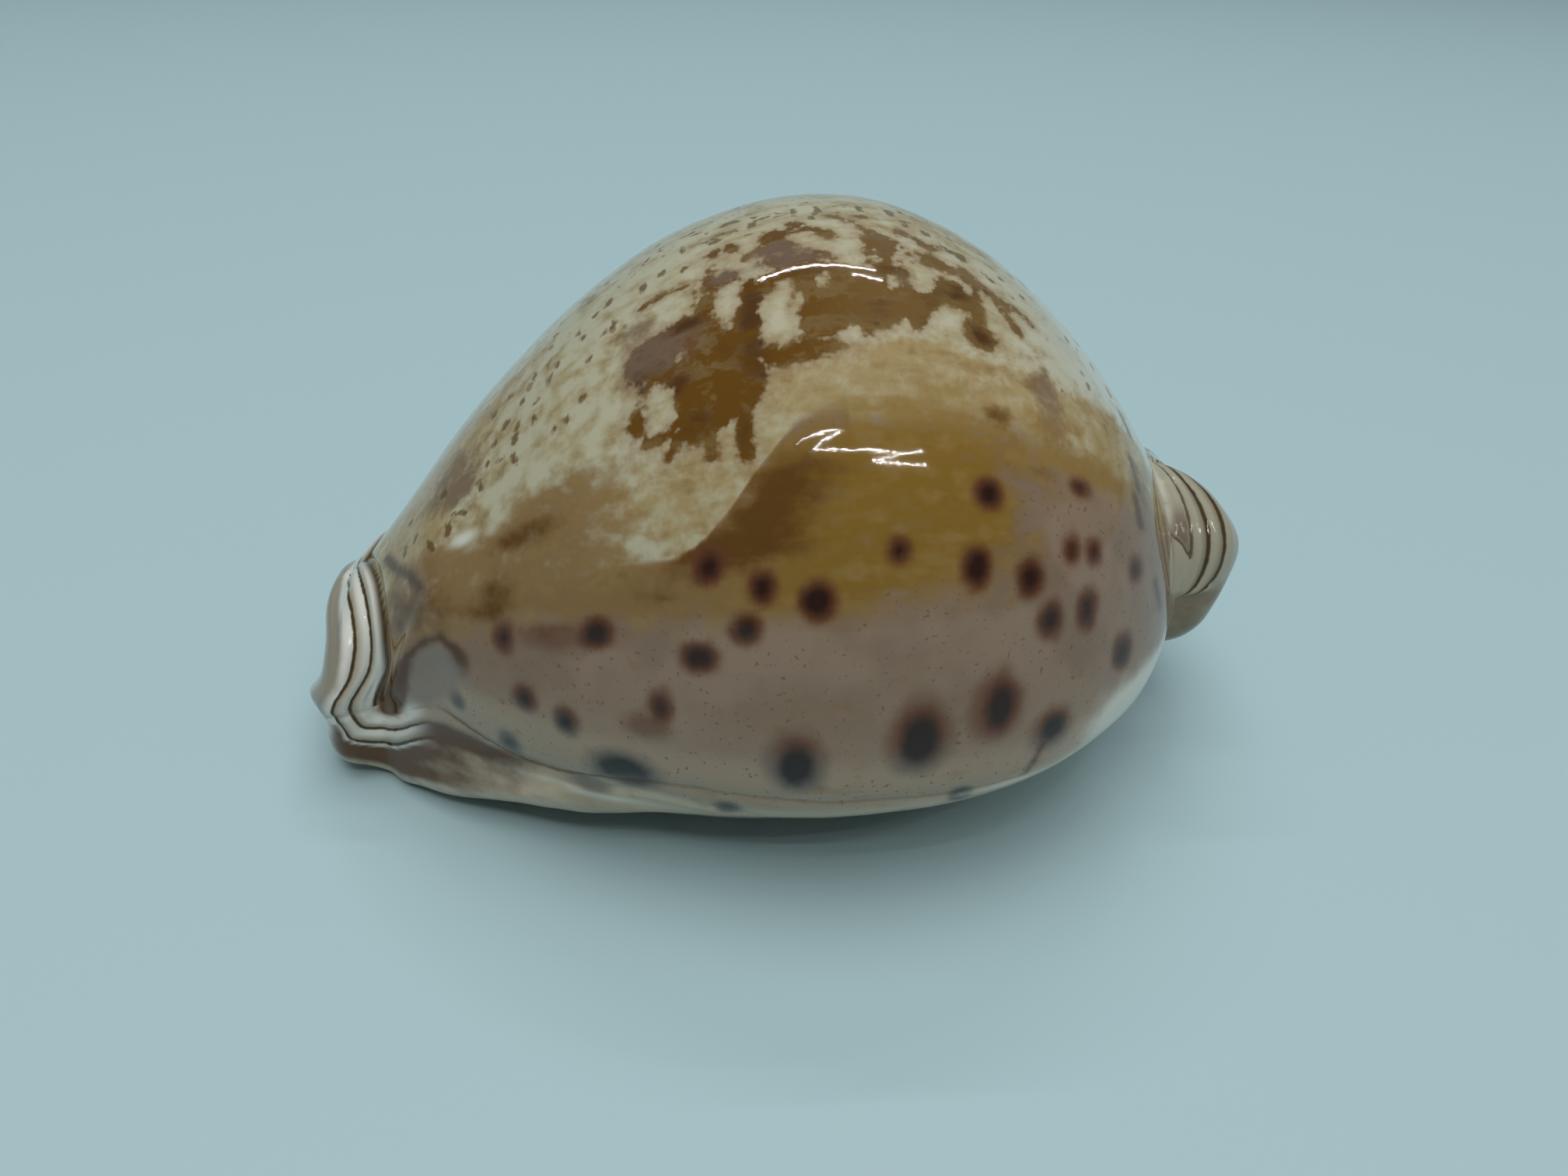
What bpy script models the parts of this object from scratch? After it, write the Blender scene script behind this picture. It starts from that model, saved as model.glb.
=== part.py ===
"""A humped cowrie shell, 63 mm long, lying on its base with the slit underneath.

The shell is one hollow wall. Its cross section is a C: the back and sides of the shell, the
slit in the base, and the cavity. The section is carried along X, from the front spout (-X)
to the back spout (+X), while its width, height and gap follow the curves below.
+Z is up to the humped back, -Y is the columella side, +Y is the outer lip side.
"""

import bpy
import numpy as np

MM = 0.001

# Driving dimensions, in millimetres.
CENTRE = (0.58, 0.09)            # X and Y of the middle of the shell's box
BODY_ENDS = (-28.4, 26.55)      # where the egg-shaped body would close by itself
GIRTH_LEVEL = 11.9              # height of the widest girth above the floor
WIDTH_CURVE = (-1.0, 1.2, -1.2, 4.0, 21.9)          # fullness of the half width, fourth power first
HUMP_CURVE = (3.0, -3.0, 0.2, -9.1, 5.8, 24.3)      # fullness of the back, fifth power first
SPOUT_ENDS = (-30.0, 29.0)      # nominal rims of the two spouts
RIM_ROUNDING = 2.4              # length over which a rim rounds off
BASE_DROP = 0.45                # how far the middle of the base is ground flat
BACK_WALL = 2.3                 # wall over the back
SIDE_WALL = 3.2                 # wall at the sides
LIP_DEPTH = 5.2                 # depth of the slit between its lips
TOOTH_PITCH = 2.8
TOOTH_HEIGHT = (0.34, 0.48)     # columella teeth, outer lip teeth
TOOTH_SPAN = (-19.0, 20.0)

# Grid: rings along the shell, and steps around the section.
BODY_RINGS = 80
RIM_RINGS = 4
OUTER_STEPS = 36
STEPS_PER_CAVITY_STEP = 3
LIP_STEPS = 3
THINNEST_RIM = 0.10             # radians of the rim's quarter round left open for its end face

SHELL_COLOUR = (0.62, 0.48, 0.36, 1.0)


def ease(t):
    """Smooth step from 0 to 1, flat in slope and curvature at both ends."""
    t = np.clip(t, 0.0, 1.0)
    return t * t * t * (t * (6.0 * t - 15.0) + 10.0)


def bump(value, centre, width):
    """Bell curve of height 1."""
    return np.exp(-(((value - centre) / width) ** 2))


def soft_max(a, b, blend):
    """The larger of two values, with the corner between them rounded."""
    return 0.5 * (a + b + np.sqrt((a - b) ** 2 + blend * blend))


def egg(x, fullness):
    """A half circle over the body's length, times a polynomial that makes it fuller or leaner."""
    front, back = BODY_ENDS
    s = np.clip((2.0 * x - front - back) / (back - front), -1.0, 1.0)
    return np.sqrt(1.0 - s * s) * np.polyval(fullness, s)


def from_front_to_back(x, front, back):
    """The front spout's value ahead of the body, the back spout's value behind it."""
    return front + (back - front) * ease((x + 10.0) / 20.0)


def half_width(x, side):
    """Half width; side is -1 on the columella side, 0 on the middle and 1 on the lip side."""
    front = 6.1 + 2.0 * bump(x, -28.9, 2.2)
    back = 6.3 + 0.7 * bump(x, 27.5, 3.0) + 1.6 * (1.0 + side)
    return soft_max(egg(x, WIDTH_CURVE), from_front_to_back(x, front, back), 0.8)


def back_height(x):
    """Height of the back of the shell, and of the top of the spouts."""
    front = 10.5 + 2.1 * bump(x, -29.6, 1.4)
    back = 19.4 - 0.1 * (x - 25.0) + 0.25 * bump(x, 28.5, 1.6)
    return soft_max(GIRTH_LEVEL + egg(x, HUMP_CURVE), from_front_to_back(x, front, back), 0.8)


def girth_height(x):
    """Height of the widest girth: lower on the front spout, higher on the back one."""
    return GIRTH_LEVEL - 4.4 * ease((-20.0 - x) / 7.0) + 1.0 * ease((x - 20.0) / 6.0)


def base_height(x):
    """Height of the base beside the slit. It rises towards both spouts."""
    front = 1.9 * ease(-x / 11.0) - 0.6 * ease((-x - 20.0) / 8.0) - 0.35 * bump(x, -20.0, 3.5)
    back = 8.6 * ease((x - 6.0) / 28.0)
    return front + back - BASE_DROP + 0.15 * ease((np.abs(x - 2.0) - 4.0) / 14.0)


def outside(x, turn):
    """Y and Z of the outside. turn is 0 on the back, -pi and pi at the slit, negative at -Y.

    An ellipse with a taller upper half. A swollen margin runs low on the sides, full towards
    the front and lean towards the back, with a shallow groove above it. The hump lags a little
    towards the back on the columella side, and the lip side's ear is swollen underneath.
    """
    c, s = np.cos(turn), np.sin(turn)
    lag = 2.0 * np.where(turn < 0.0, s * s, 0.0) * ease((x + 25.0) / 9.0) * ease((25.0 - x) / 9.0)
    up = back_height(x - lag) - girth_height(x)
    down = girth_height(x) - base_height(x)
    reach = down + (up - down) * ease(0.5 + c / 1.4)
    margin = 0.02 + 0.23 * ease((3.0 - x) / 22.0) - 0.10 * bump(x, 14.0, 8.0)
    margin = margin + 0.14 * bump(x, -23.4, 4.0) + 0.14 * bump(x, -25.9, 1.6)
    margin = margin + 0.04 * ease((x - 20.0) / 6.0)
    lip_ear = 0.34 * ease((x - 19.0) / 6.0) * bump(turn, 2.2, 0.42)
    groove = 0.04 * bump(x, -17.0, 8.0)
    low = np.abs(turn)
    full = 1.0 + 0.012 * np.sin(2.0 * turn) ** 2
    full = full + (margin - 0.03) * bump(low, 2.45, 0.36) - groove * bump(low, 2.06, 0.13) + lip_ear
    return half_width(x, s) * s * full, girth_height(x) + reach * c * full


def cavity(x, turn):
    """Y and Z of the cavity: roomy under the back, and a narrow canal in the two spouts."""
    c, s = np.cos(turn), np.sin(turn)
    room = ease((x + 25.0) / 9.0) * ease((23.5 - x) / 7.0)
    floor = base_height(x) + 1.3 + (LIP_DEPTH - 1.3) * room
    roof = back_height(x) - 4.4 + (4.4 - BACK_WALL) * room
    wide = 0.9 + (half_width(x, s) - SIDE_WALL - 0.9) * room
    return wide * s, 0.5 * (floor + roof) + 0.5 * (roof - floor) * c


def slit_line(x):
    """Y of the slit's middle: on the lip side of the shell, bending to the columella at +X."""
    return 0.8 + 0.8 * np.cos(x / 20.0) - 0.9 * ease((x - 12.0) / 18.0)


def half_gap(x):
    """Half the width of the slit, which widens towards the front canal."""
    return 1.2 + 0.9 * ease((-8.0 - x) / 12.0) - 0.35 * ease((-24.0 - x) / 4.0) + 0.6 * ease((x - 22.0) / 6.0)


def teeth(x, turn):
    """Height of the teeth: rounded ridges across both lips, with a TOOTH_PITCH between them."""
    first, last = TOOTH_SPAN
    ridge = (0.5 + 0.5 * np.cos(2.0 * np.pi * x / TOOTH_PITCH)) ** 1.5
    ridge = ridge * ease((x - first) / 4.0) * ease((last - x) / 4.0)
    return ridge * np.where(turn < 0.0, TOOTH_HEIGHT[0], TOOTH_HEIGHT[1])


def wall_point(x, turn, depth):
    """Y and Z of a point in the wall. depth runs from 0 outside to 1 at the cavity.

    The closed section is parted at the slit: a distance y from the slit's middle grows to the
    root of y squared plus the half gap squared. The lips curl up into the slit.
    """
    y_out, z_out = outside(x, turn)
    y_in, z_in = cavity(x, turn)
    underneath = ease(-np.cos(turn) / 0.6)
    ridge = teeth(x, turn) * underneath
    z_out = z_out + 1.1 * bump(y_out, 0.0, 1.7) * underneath
    z_out = z_out - 0.8 * ridge * bump(y_out, 1.8 * np.sign(turn), 2.4)
    z_out = np.maximum(z_out, 0.0)
    gap = half_gap(x) * underneath - ridge * (1.0 - ease(depth))
    y = y_out + (y_in - y_out) * depth
    z = z_out + (z_in - z_out) * depth
    y = np.where(turn < 0.0, -1.0, 1.0) * np.sqrt(y * y + gap * gap)
    return y + slit_line(x) * bump(np.abs(turn), np.pi, 0.9), z


def front_lean(turn):
    """How far the front rim leans along X, by angle from the top: forward on the sides."""
    angle = np.degrees(np.abs(turn))
    above = 0.1 + 0.25 * bump(angle, 50.0, 20.0)
    return above - 1.15 * bump(angle, 97.0, 14.5) - 0.7 * bump(angle, 138.0, 18.0)


def back_lean(turn):
    """How far the back rim leans along X: an ear on each side, with notches between them."""
    angle = np.degrees(np.abs(turn))
    near = -1.4 + 3.3 * bump(angle, 59.0, 50.0) + 2.2 * ease((angle - 68.0) / 85.0)
    far = -1.7 + 4.8 * ease(angle / 100.0) - 0.5 * ease((angle - 125.0) / 55.0)
    return np.where(turn < 0.0, near, far)


def rim_reach(x, turn):
    """The lean of both rims, faded out towards the body."""
    return front_lean(turn) * ease((-23.5 - x) / 6.5) + back_lean(turn) * ease((x - 20.0) / 9.0)


def rings():
    """X of each ring, and its share of the full wall thickness, which rounds the rims off."""
    front, back = SPOUT_ENDS
    body = np.linspace(front + RIM_ROUNDING, back - RIM_ROUNDING, BODY_RINGS)
    quarter = np.linspace(THINNEST_RIM, 0.5 * np.pi, RIM_RINGS, endpoint=False)
    inset = RIM_ROUNDING * (1.0 - np.cos(quarter))
    x = np.concatenate([front + inset, body, (back - inset)[::-1]])
    share = np.concatenate([np.sin(quarter), np.ones(BODY_RINGS), np.sin(quarter)[::-1]])
    return x, share


def section_steps():
    """Angle and depth of each step around the C: outside, far lip, cavity, near lip."""
    t = np.linspace(-1.0, 1.0, OUTER_STEPS + 1)
    out = np.pi * t * (1.38 - 0.38 * t * t)
    cave = out[::STEPS_PER_CAVITY_STEP][::-1]
    lip = np.arange(1, LIP_STEPS + 1) / (LIP_STEPS + 1.0)
    turn = np.concatenate([out, np.full(LIP_STEPS, np.pi), cave, np.full(LIP_STEPS, -np.pi)])
    depth = np.concatenate([np.zeros(len(out)), lip, np.ones(len(cave)), lip[::-1]])
    return turn, depth


def shell_points():
    """The grid of points, one row for each ring."""
    ring_x, share = rings()
    turn, depth = section_steps()
    ring_x, turn = np.meshgrid(ring_x, turn, indexing="ij")
    depth = 0.5 + (depth[None, :] - 0.5) * share[:, None]
    x = ring_x + rim_reach(ring_x, turn)
    y, z = wall_point(x, turn, depth)
    return np.stack([x - CENTRE[0], y - CENTRE[1], z], axis=-1) * MM


def rim_faces():
    """The end face of a rim, as strips of one cavity step each, in the order of the section."""
    skip = STEPS_PER_CAVITY_STEP
    strips = OUTER_STEPS // skip
    cave_start = OUTER_STEPS + 1 + LIP_STEPS
    faces = []
    for strip in range(strips):
        outer_run = list(range(strip * skip, (strip + 1) * skip + 1))
        cave_step = cave_start + strips - strip
        face = outer_run + [cave_step - 1, cave_step]
        if strip == 0:
            face += list(range(cave_step + 1, cave_step + 1 + LIP_STEPS))
        if strip == strips - 1:
            face[len(outer_run):len(outer_run)] = range(OUTER_STEPS + 1, cave_start)
        faces.append(face)
    return faces


def shell_faces(ring_count, step_count):
    """Quads between neighbouring rings, and the two rims' end faces."""
    ring, step = np.meshgrid(np.arange(ring_count - 1), np.arange(step_count), indexing="ij")
    following = (step + 1) % step_count
    quads = np.stack([
        ring * step_count + step,
        (ring + 1) * step_count + step,
        (ring + 1) * step_count + following,
        ring * step_count + following,
    ], axis=-1)
    faces = quads.reshape(-1, 4).tolist()
    last = (ring_count - 1) * step_count
    for face in rim_faces():
        faces.append(face)
        faces.append([last + step for step in reversed(face)])
    return faces


def shell_material():
    """Glossy, porcelain-like enamel in the shell's average colour."""
    material = bpy.data.materials.new("shell_enamel")
    material.use_nodes = True
    shader = material.node_tree.nodes["Principled BSDF"]
    shader.inputs["Base Color"].default_value = SHELL_COLOUR
    shader.inputs["Roughness"].default_value = 0.12
    shader.inputs["Metallic"].default_value = 0.0
    return material


def clear_scene():
    for obj in list(bpy.data.objects):
        bpy.data.objects.remove(obj, do_unlink=True)


def build_shell():
    points = shell_points()
    ring_count, step_count = points.shape[:2]
    mesh = bpy.data.meshes.new("cowrie_shell")
    mesh.from_pydata(points.reshape(-1, 3).tolist(), [], shell_faces(ring_count, step_count))
    mesh.materials.append(shell_material())
    mesh.shade_smooth()
    mesh.set_sharp_from_angle(angle=np.radians(50.0))
    shell = bpy.data.objects.new("cowrie_shell", mesh)
    bpy.context.scene.collection.objects.link(shell)
    return shell


clear_scene()
build_shell()
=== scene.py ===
# %% [markdown]
# # A humped cowrie shell
# A cowrie is one wall of porcelain-like shell, rolled up on itself so that only a toothed slit
# is left underneath. The living animal folds its mantle over the outside and paints it with
# layer on layer of clear and coloured enamel, which is why the finish is as glossy as a glaze.
# The imported solid already has the shape and the size. This lesson makes a finer skin of the
# same shape, carves the small relief into it, and paints it with nodes.
#
# First the imported model is loaded, and its box is kept.

import bpy
import numpy as np
from mathutils import Matrix, Vector


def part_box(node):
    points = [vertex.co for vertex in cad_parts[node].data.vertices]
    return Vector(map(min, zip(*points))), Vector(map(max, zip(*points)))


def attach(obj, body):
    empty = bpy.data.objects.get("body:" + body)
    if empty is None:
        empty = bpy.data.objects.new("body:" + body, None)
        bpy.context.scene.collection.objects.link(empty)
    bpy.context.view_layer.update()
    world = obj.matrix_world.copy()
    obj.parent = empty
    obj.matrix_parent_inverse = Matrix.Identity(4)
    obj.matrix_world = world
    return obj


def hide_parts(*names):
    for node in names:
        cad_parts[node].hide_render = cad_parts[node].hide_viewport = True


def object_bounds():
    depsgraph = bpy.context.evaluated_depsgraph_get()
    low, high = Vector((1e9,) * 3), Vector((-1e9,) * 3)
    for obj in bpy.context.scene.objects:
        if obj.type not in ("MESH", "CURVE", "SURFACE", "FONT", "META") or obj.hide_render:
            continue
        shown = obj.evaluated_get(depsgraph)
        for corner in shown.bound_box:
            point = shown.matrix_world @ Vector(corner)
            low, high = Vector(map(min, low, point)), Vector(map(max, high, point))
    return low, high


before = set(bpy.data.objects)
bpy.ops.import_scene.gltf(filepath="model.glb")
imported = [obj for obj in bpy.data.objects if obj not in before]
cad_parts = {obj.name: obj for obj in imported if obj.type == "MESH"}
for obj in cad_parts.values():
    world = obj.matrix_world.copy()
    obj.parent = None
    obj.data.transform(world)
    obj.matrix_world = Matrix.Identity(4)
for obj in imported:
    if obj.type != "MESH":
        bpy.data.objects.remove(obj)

cad_low, cad_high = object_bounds()
MM = 0.001
print("packed shell, mm:", [round(size / MM, 2) for size in cad_high - cad_low])

# %% [markdown]
# ## Small helpers for curves
# Nearly every curve of the shell is built from three shapes: a smooth step, a bell, and a
# "larger of two" with a rounded corner. They are kept as functions of whole numpy arrays, so
# that a field over a hundred thousand points is one line of arithmetic and needs no loop.

# %% Steps, bells and rounded corners
def ease(t):
    """Smooth step from 0 to 1, flat in slope and curvature at both ends."""
    t = np.clip(t, 0.0, 1.0)
    return t * t * t * (t * (6.0 * t - 15.0) + 10.0)


def bump(value, centre, width):
    """Bell curve of height 1: e to the minus of the squared distance over the width."""
    return np.exp(-(((value - centre) / width) ** 2))


def soft_max(a, b, blend):
    """The larger of two values, with the corner between them rounded."""
    return 0.5 * (a + b + np.sqrt((a - b) ** 2 + blend * blend))


print("ease at a quarter, a half and three quarters:", np.round(ease(np.array([0.25, 0.5, 0.75])), 3))

# %% [markdown]
# ## The body's outline
# Seen from above the shell is an egg, and seen from the side it is a tall hump. Both outlines
# are a half circle over the body's length times a polynomial that makes it fuller or leaner,
# which needs five or six numbers where a traced outline would need hundreds. At each end the
# outline runs into a spout: the front one (-X) carries the striped collar, the back one (+X)
# the two striped ears. All lengths here are in millimetres, as on a drawing.

# %% Outline of the body and its two spouts
BODY_ENDS = (-28.4, 26.55)
GIRTH_LEVEL = 11.9
WIDTH_CURVE = (-1.0, 1.2, -1.2, 4.0, 21.9)
HUMP_CURVE = (3.0, -3.0, 0.2, -9.1, 5.8, 24.3)
BASE_DROP = 0.45


def egg(x, fullness):
    """A half circle over the body's length, times a polynomial of the place along it."""
    front, back = BODY_ENDS
    s = np.clip((2.0 * x - front - back) / (back - front), -1.0, 1.0)
    return np.sqrt(1.0 - s * s) * np.polyval(fullness, s)


def from_front_to_back(x, front, back):
    """The front spout's value ahead of the body, the back spout's value behind it."""
    return front + (back - front) * ease((x + 10.0) / 20.0)


def half_width(x, side):
    """Half width; side is -1 on the columella side, 0 on the middle and 1 on the lip side."""
    front = 6.1 + 2.0 * bump(x, -28.9, 2.2)
    back = 6.3 + 0.7 * bump(x, 27.5, 3.0) + 1.6 * (1.0 + side)
    return soft_max(egg(x, WIDTH_CURVE), from_front_to_back(x, front, back), 0.8)


def back_height(x):
    """Height of the back of the shell, and of the top of the spouts."""
    front = 10.5 + 2.1 * bump(x, -29.6, 1.4)
    back = 19.4 - 0.1 * (x - 25.0) + 0.25 * bump(x, 28.5, 1.6)
    return soft_max(GIRTH_LEVEL + egg(x, HUMP_CURVE), from_front_to_back(x, front, back), 0.8)


def girth_height(x):
    """Height of the widest girth: lower on the front spout, higher on the back one."""
    return GIRTH_LEVEL - 4.4 * ease((-20.0 - x) / 7.0) + 1.0 * ease((x - 20.0) / 6.0)


def base_height(x):
    """Height of the base beside the slit. It rises towards both spouts."""
    front = 1.9 * ease(-x / 11.0) - 0.6 * ease((-x - 20.0) / 8.0) - 0.35 * bump(x, -20.0, 3.5)
    back = 8.6 * ease((x - 6.0) / 28.0)
    return front + back - BASE_DROP + 0.15 * ease((np.abs(x - 2.0) - 4.0) / 14.0)


stations = np.array([-20.0, -10.0, 0.0, 10.0, 20.0])
print("half width every 10 mm:", np.round(half_width(stations, 0.0), 1))
print("height every 10 mm:", np.round(back_height(stations), 1))

# %% [markdown]
# ## The rolled section
# A cut across the shell is a C: outside wall, lip, cavity, other lip. One angle runs round it,
# 0 on the back and half a turn at the slit, negative on the columella side (-Y). One depth runs
# through the wall, 0 outside and 1 at the cavity. The slit comes from a small trick: a distance
# y from its middle grows to the root of y squared plus the half gap squared, which parts the
# closed ring and rounds both lips at once. The teeth are a raised cosine along the lips.

# %% Outside, cavity and slit
BACK_WALL = 2.3
SIDE_WALL = 3.2
LIP_DEPTH = 5.2
TOOTH_PITCH = 2.8
TOOTH_HEIGHT = (0.34, 0.48)     # columella side, outer lip side
TOOTH_SPAN = (-19.0, 20.0)


def outside(x, turn):
    """Y and Z of the outside: an ellipse with a taller upper half and a swollen low margin."""
    c, s = np.cos(turn), np.sin(turn)
    lag = 2.0 * np.where(turn < 0.0, s * s, 0.0) * ease((x + 25.0) / 9.0) * ease((25.0 - x) / 9.0)
    up = back_height(x - lag) - girth_height(x)
    down = girth_height(x) - base_height(x)
    reach = down + (up - down) * ease(0.5 + c / 1.4)
    margin = 0.02 + 0.23 * ease((3.0 - x) / 22.0) - 0.10 * bump(x, 14.0, 8.0)
    margin = margin + 0.14 * bump(x, -23.4, 4.0) + 0.14 * bump(x, -25.9, 1.6)
    margin = margin + 0.04 * ease((x - 20.0) / 6.0)
    lip_ear = 0.34 * ease((x - 19.0) / 6.0) * bump(turn, 2.2, 0.42)
    groove = 0.04 * bump(x, -17.0, 8.0)
    low = np.abs(turn)
    full = 1.0 + 0.012 * np.sin(2.0 * turn) ** 2
    full = full + (margin - 0.03) * bump(low, 2.45, 0.36) - groove * bump(low, 2.06, 0.13) + lip_ear
    return half_width(x, s) * s * full, girth_height(x) + reach * c * full


def cavity(x, turn):
    """Y and Z of the cavity: roomy under the back, and a narrow canal in the two spouts."""
    c, s = np.cos(turn), np.sin(turn)
    room = ease((x + 25.0) / 9.0) * ease((23.5 - x) / 7.0)
    floor = base_height(x) + 1.3 + (LIP_DEPTH - 1.3) * room
    roof = back_height(x) - 4.4 + (4.4 - BACK_WALL) * room
    wide = 0.9 + (half_width(x, s) - SIDE_WALL - 0.9) * room
    return wide * s, 0.5 * (floor + roof) + 0.5 * (roof - floor) * c


def slit_line(x):
    """Y of the slit's middle: on the lip side of the shell, bending to the columella at +X."""
    return 0.8 + 0.8 * np.cos(x / 20.0) - 0.9 * ease((x - 12.0) / 18.0)


def half_gap(x):
    """Half the width of the slit, which widens towards the front canal."""
    return 1.2 + 0.9 * ease((-8.0 - x) / 12.0) - 0.35 * ease((-24.0 - x) / 4.0) + 0.6 * ease((x - 22.0) / 6.0)


def teeth(x, turn):
    """Height of the teeth: rounded ridges across both lips, with a TOOTH_PITCH between them."""
    first, last = TOOTH_SPAN
    ridge = (0.5 + 0.5 * np.cos(2.0 * np.pi * x / TOOTH_PITCH)) ** 1.5
    ridge = ridge * ease((x - first) / 4.0) * ease((last - x) / 4.0)
    return ridge * np.where(turn < 0.0, TOOTH_HEIGHT[0], TOOTH_HEIGHT[1])


def wall_point(x, turn, depth):
    """Y and Z of a point in the wall: the mix of outside and cavity by depth, parted at the slit."""
    y_out, z_out = outside(x, turn)
    y_in, z_in = cavity(x, turn)
    underneath = ease(-np.cos(turn) / 0.6)
    ridge = teeth(x, turn) * underneath
    z_out = z_out + 1.1 * bump(y_out, 0.0, 1.7) * underneath
    z_out = z_out - 0.8 * ridge * bump(y_out, 1.8 * np.sign(turn), 2.4)
    z_out = np.maximum(z_out, 0.0)
    gap = half_gap(x) * underneath - ridge * (1.0 - ease(depth))
    y = y_out + (y_in - y_out) * depth
    z = z_out + (z_in - z_out) * depth
    y = np.where(turn < 0.0, -1.0, 1.0) * np.sqrt(y * y + gap * gap)
    return y + slit_line(x) * bump(np.abs(turn), np.pi, 0.9), z


print("slit width in the middle, mm:", round(2.0 * float(half_gap(0.0)), 1))

# %% [markdown]
# ## The two rims
# The shell ends in two open rims. Seen from the side they lean: ears stand out on both sides
# with a notch between them. The lean depends on the angle round the shell, and it fades out
# towards the body. The wall is rounded off over the last few millimetres, by letting its
# thickness follow a quarter circle.

# %% Rims, rings and steps
SPOUT_ENDS = (-30.0, 29.0)
RIM_ROUNDING = 2.4
THINNEST_RIM = 0.10
BODY_RINGS = 250
RIM_RINGS = 8
END_CROWDING = 0.30             # rings stand this much closer together at the striped ends
OUTER_STEPS = 288
SIDE_CROWDING = 0.45            # and steps, on the side with the finest markings
STEPS_PER_CAVITY_STEP = 6
LIP_STEPS = 10


def front_lean(turn):
    """How far the front rim leans along X, by angle from the top: forward on the sides."""
    angle = np.degrees(np.abs(turn))
    above = 0.1 + 0.25 * bump(angle, 50.0, 20.0)
    return above - 1.15 * bump(angle, 97.0, 14.5) - 0.7 * bump(angle, 138.0, 18.0)


def back_lean(turn):
    """How far the back rim leans along X: an ear on each side, with notches between them."""
    angle = np.degrees(np.abs(turn))
    near = -1.4 + 3.3 * bump(angle, 59.0, 50.0) + 2.2 * ease((angle - 68.0) / 85.0)
    near = near - 1.0 * bump(angle, 140.0, 27.0)
    far = -1.7 + 4.8 * ease(angle / 100.0) - 0.5 * ease((angle - 125.0) / 55.0)
    return near + (far - near) * ease(0.5 + turn / 0.5)


def rim_reach(x, turn):
    """The lean of both rims, faded out towards the body."""
    return front_lean(turn) * ease((-23.5 - x) / 6.5) + back_lean(turn) * ease((x - 20.0) / 9.0)


def rings():
    """X of each ring, crowded at the ends, and its share of the full wall thickness."""
    front, back = SPOUT_ENDS
    s = np.linspace(0.0, 1.0, BODY_RINGS)
    s = s - END_CROWDING * np.sin(2.0 * np.pi * s) / (2.0 * np.pi)
    body = front + RIM_ROUNDING + (back - front - 2.0 * RIM_ROUNDING) * s
    quarter = np.linspace(THINNEST_RIM, 0.5 * np.pi, RIM_RINGS, endpoint=False)
    inset = RIM_ROUNDING * (1.0 - np.cos(quarter))
    x = np.concatenate([front + inset, body, (back - inset)[::-1]])
    share = np.concatenate([np.sin(quarter), np.ones(BODY_RINGS), np.sin(quarter)[::-1]])
    return x, share


def section_steps():
    """Angle and depth of each step around the C: outside, far lip, cavity, near lip."""
    middle = np.linspace(-1.0, 1.0, OUTER_STEPS, endpoint=False) + 1.0 / OUTER_STEPS
    gap = (1.0 - 0.4 * middle ** 4) * (1.0 - SIDE_CROWDING * bump(middle, -0.25, 0.45))
    out = np.concatenate([[0.0], np.cumsum(gap)])
    out = np.pi * (2.0 * out / out[-1] - 1.0)
    cave = out[::STEPS_PER_CAVITY_STEP][::-1]
    lip = np.arange(1, LIP_STEPS + 1) / (LIP_STEPS + 1.0)
    turn = np.concatenate([out, np.full(LIP_STEPS, np.pi), cave, np.full(LIP_STEPS, -np.pi)])
    depth = np.concatenate([np.zeros(len(out)), lip, np.ones(len(cave)), lip[::-1]])
    return turn, depth


ring_x, ring_share = rings()
step_turn, step_depth = section_steps()
print(len(ring_x), "rings of", len(step_turn), "steps")

# %% [markdown]
# ## The skin before carving
# The rings and steps make a grid, and every later step is an array of the grid's shape: the
# place along the shell, the angle round it, the depth in the wall, and the point itself. The
# grid also gives the way out of the surface at each point, from the cross product of its two
# directions. The relief is pushed along that.

# %% The grid and its normals
def cross_grid(ring_values, step_values):
    """Both values at each point of the grid."""
    return np.meshgrid(ring_values, step_values, indexing="ij")


def outward(points):
    """Unit normals of a grid whose columns close into a loop."""
    along = np.gradient(points, axis=0)
    around = np.roll(points, -1, axis=1) - np.roll(points, 1, axis=1)
    normal = np.cross(along, around)
    return normal / np.maximum(np.linalg.norm(normal, axis=-1, keepdims=True), 1e-9)


nominal_x, turn = cross_grid(ring_x, step_turn)
depth = 0.5 + (step_depth[None, :] - 0.5) * ring_share[:, None]
x = nominal_x + rim_reach(nominal_x, turn)
plain_y, plain_z = wall_point(x, turn, depth)
plain = np.stack([x, plain_y, plain_z], axis=-1)
normals = outward(plain)
degrees = np.degrees(turn)
low = np.abs(degrees)            # 0 on the back, 180 at the slit
on_outside = np.clip(1.0 - 2.0 * step_depth, 0.0, 1.0)[None, :] * ring_share[:, None]
print("skin before carving, mm:", np.round(plain.max(axis=(0, 1)) - plain.min(axis=(0, 1)), 2))

# %% [markdown]
# ## The collar's bands
# The front spout wears a collar of three raised white bands with dark lines between them, and
# a grey-brown rim. The bands keep to the rim: down the side of the collar they follow it, and
# below they bend round and run back along the neck. So one number per point is enough, about
# 0 at the crease behind the collar and 1 and 2 on the dark lines. On the side it grows with
# the share of the way from crease to rim, below it grows with the angle past the neck's edge,
# and the larger of the two gives the bend. Both the ribs and the lines are read off it.

# %% Band number of the collar
def collar_crease(low):
    """X of the crease behind the collar: furthest back on the sides."""
    above = 2.3 * np.clip(1.0 - low / 65.0, 0.0, 1.0) ** 1.5
    below = 1.3 * ease((low - 72.0) / 34.0)
    return -25.0 - above - below


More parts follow.
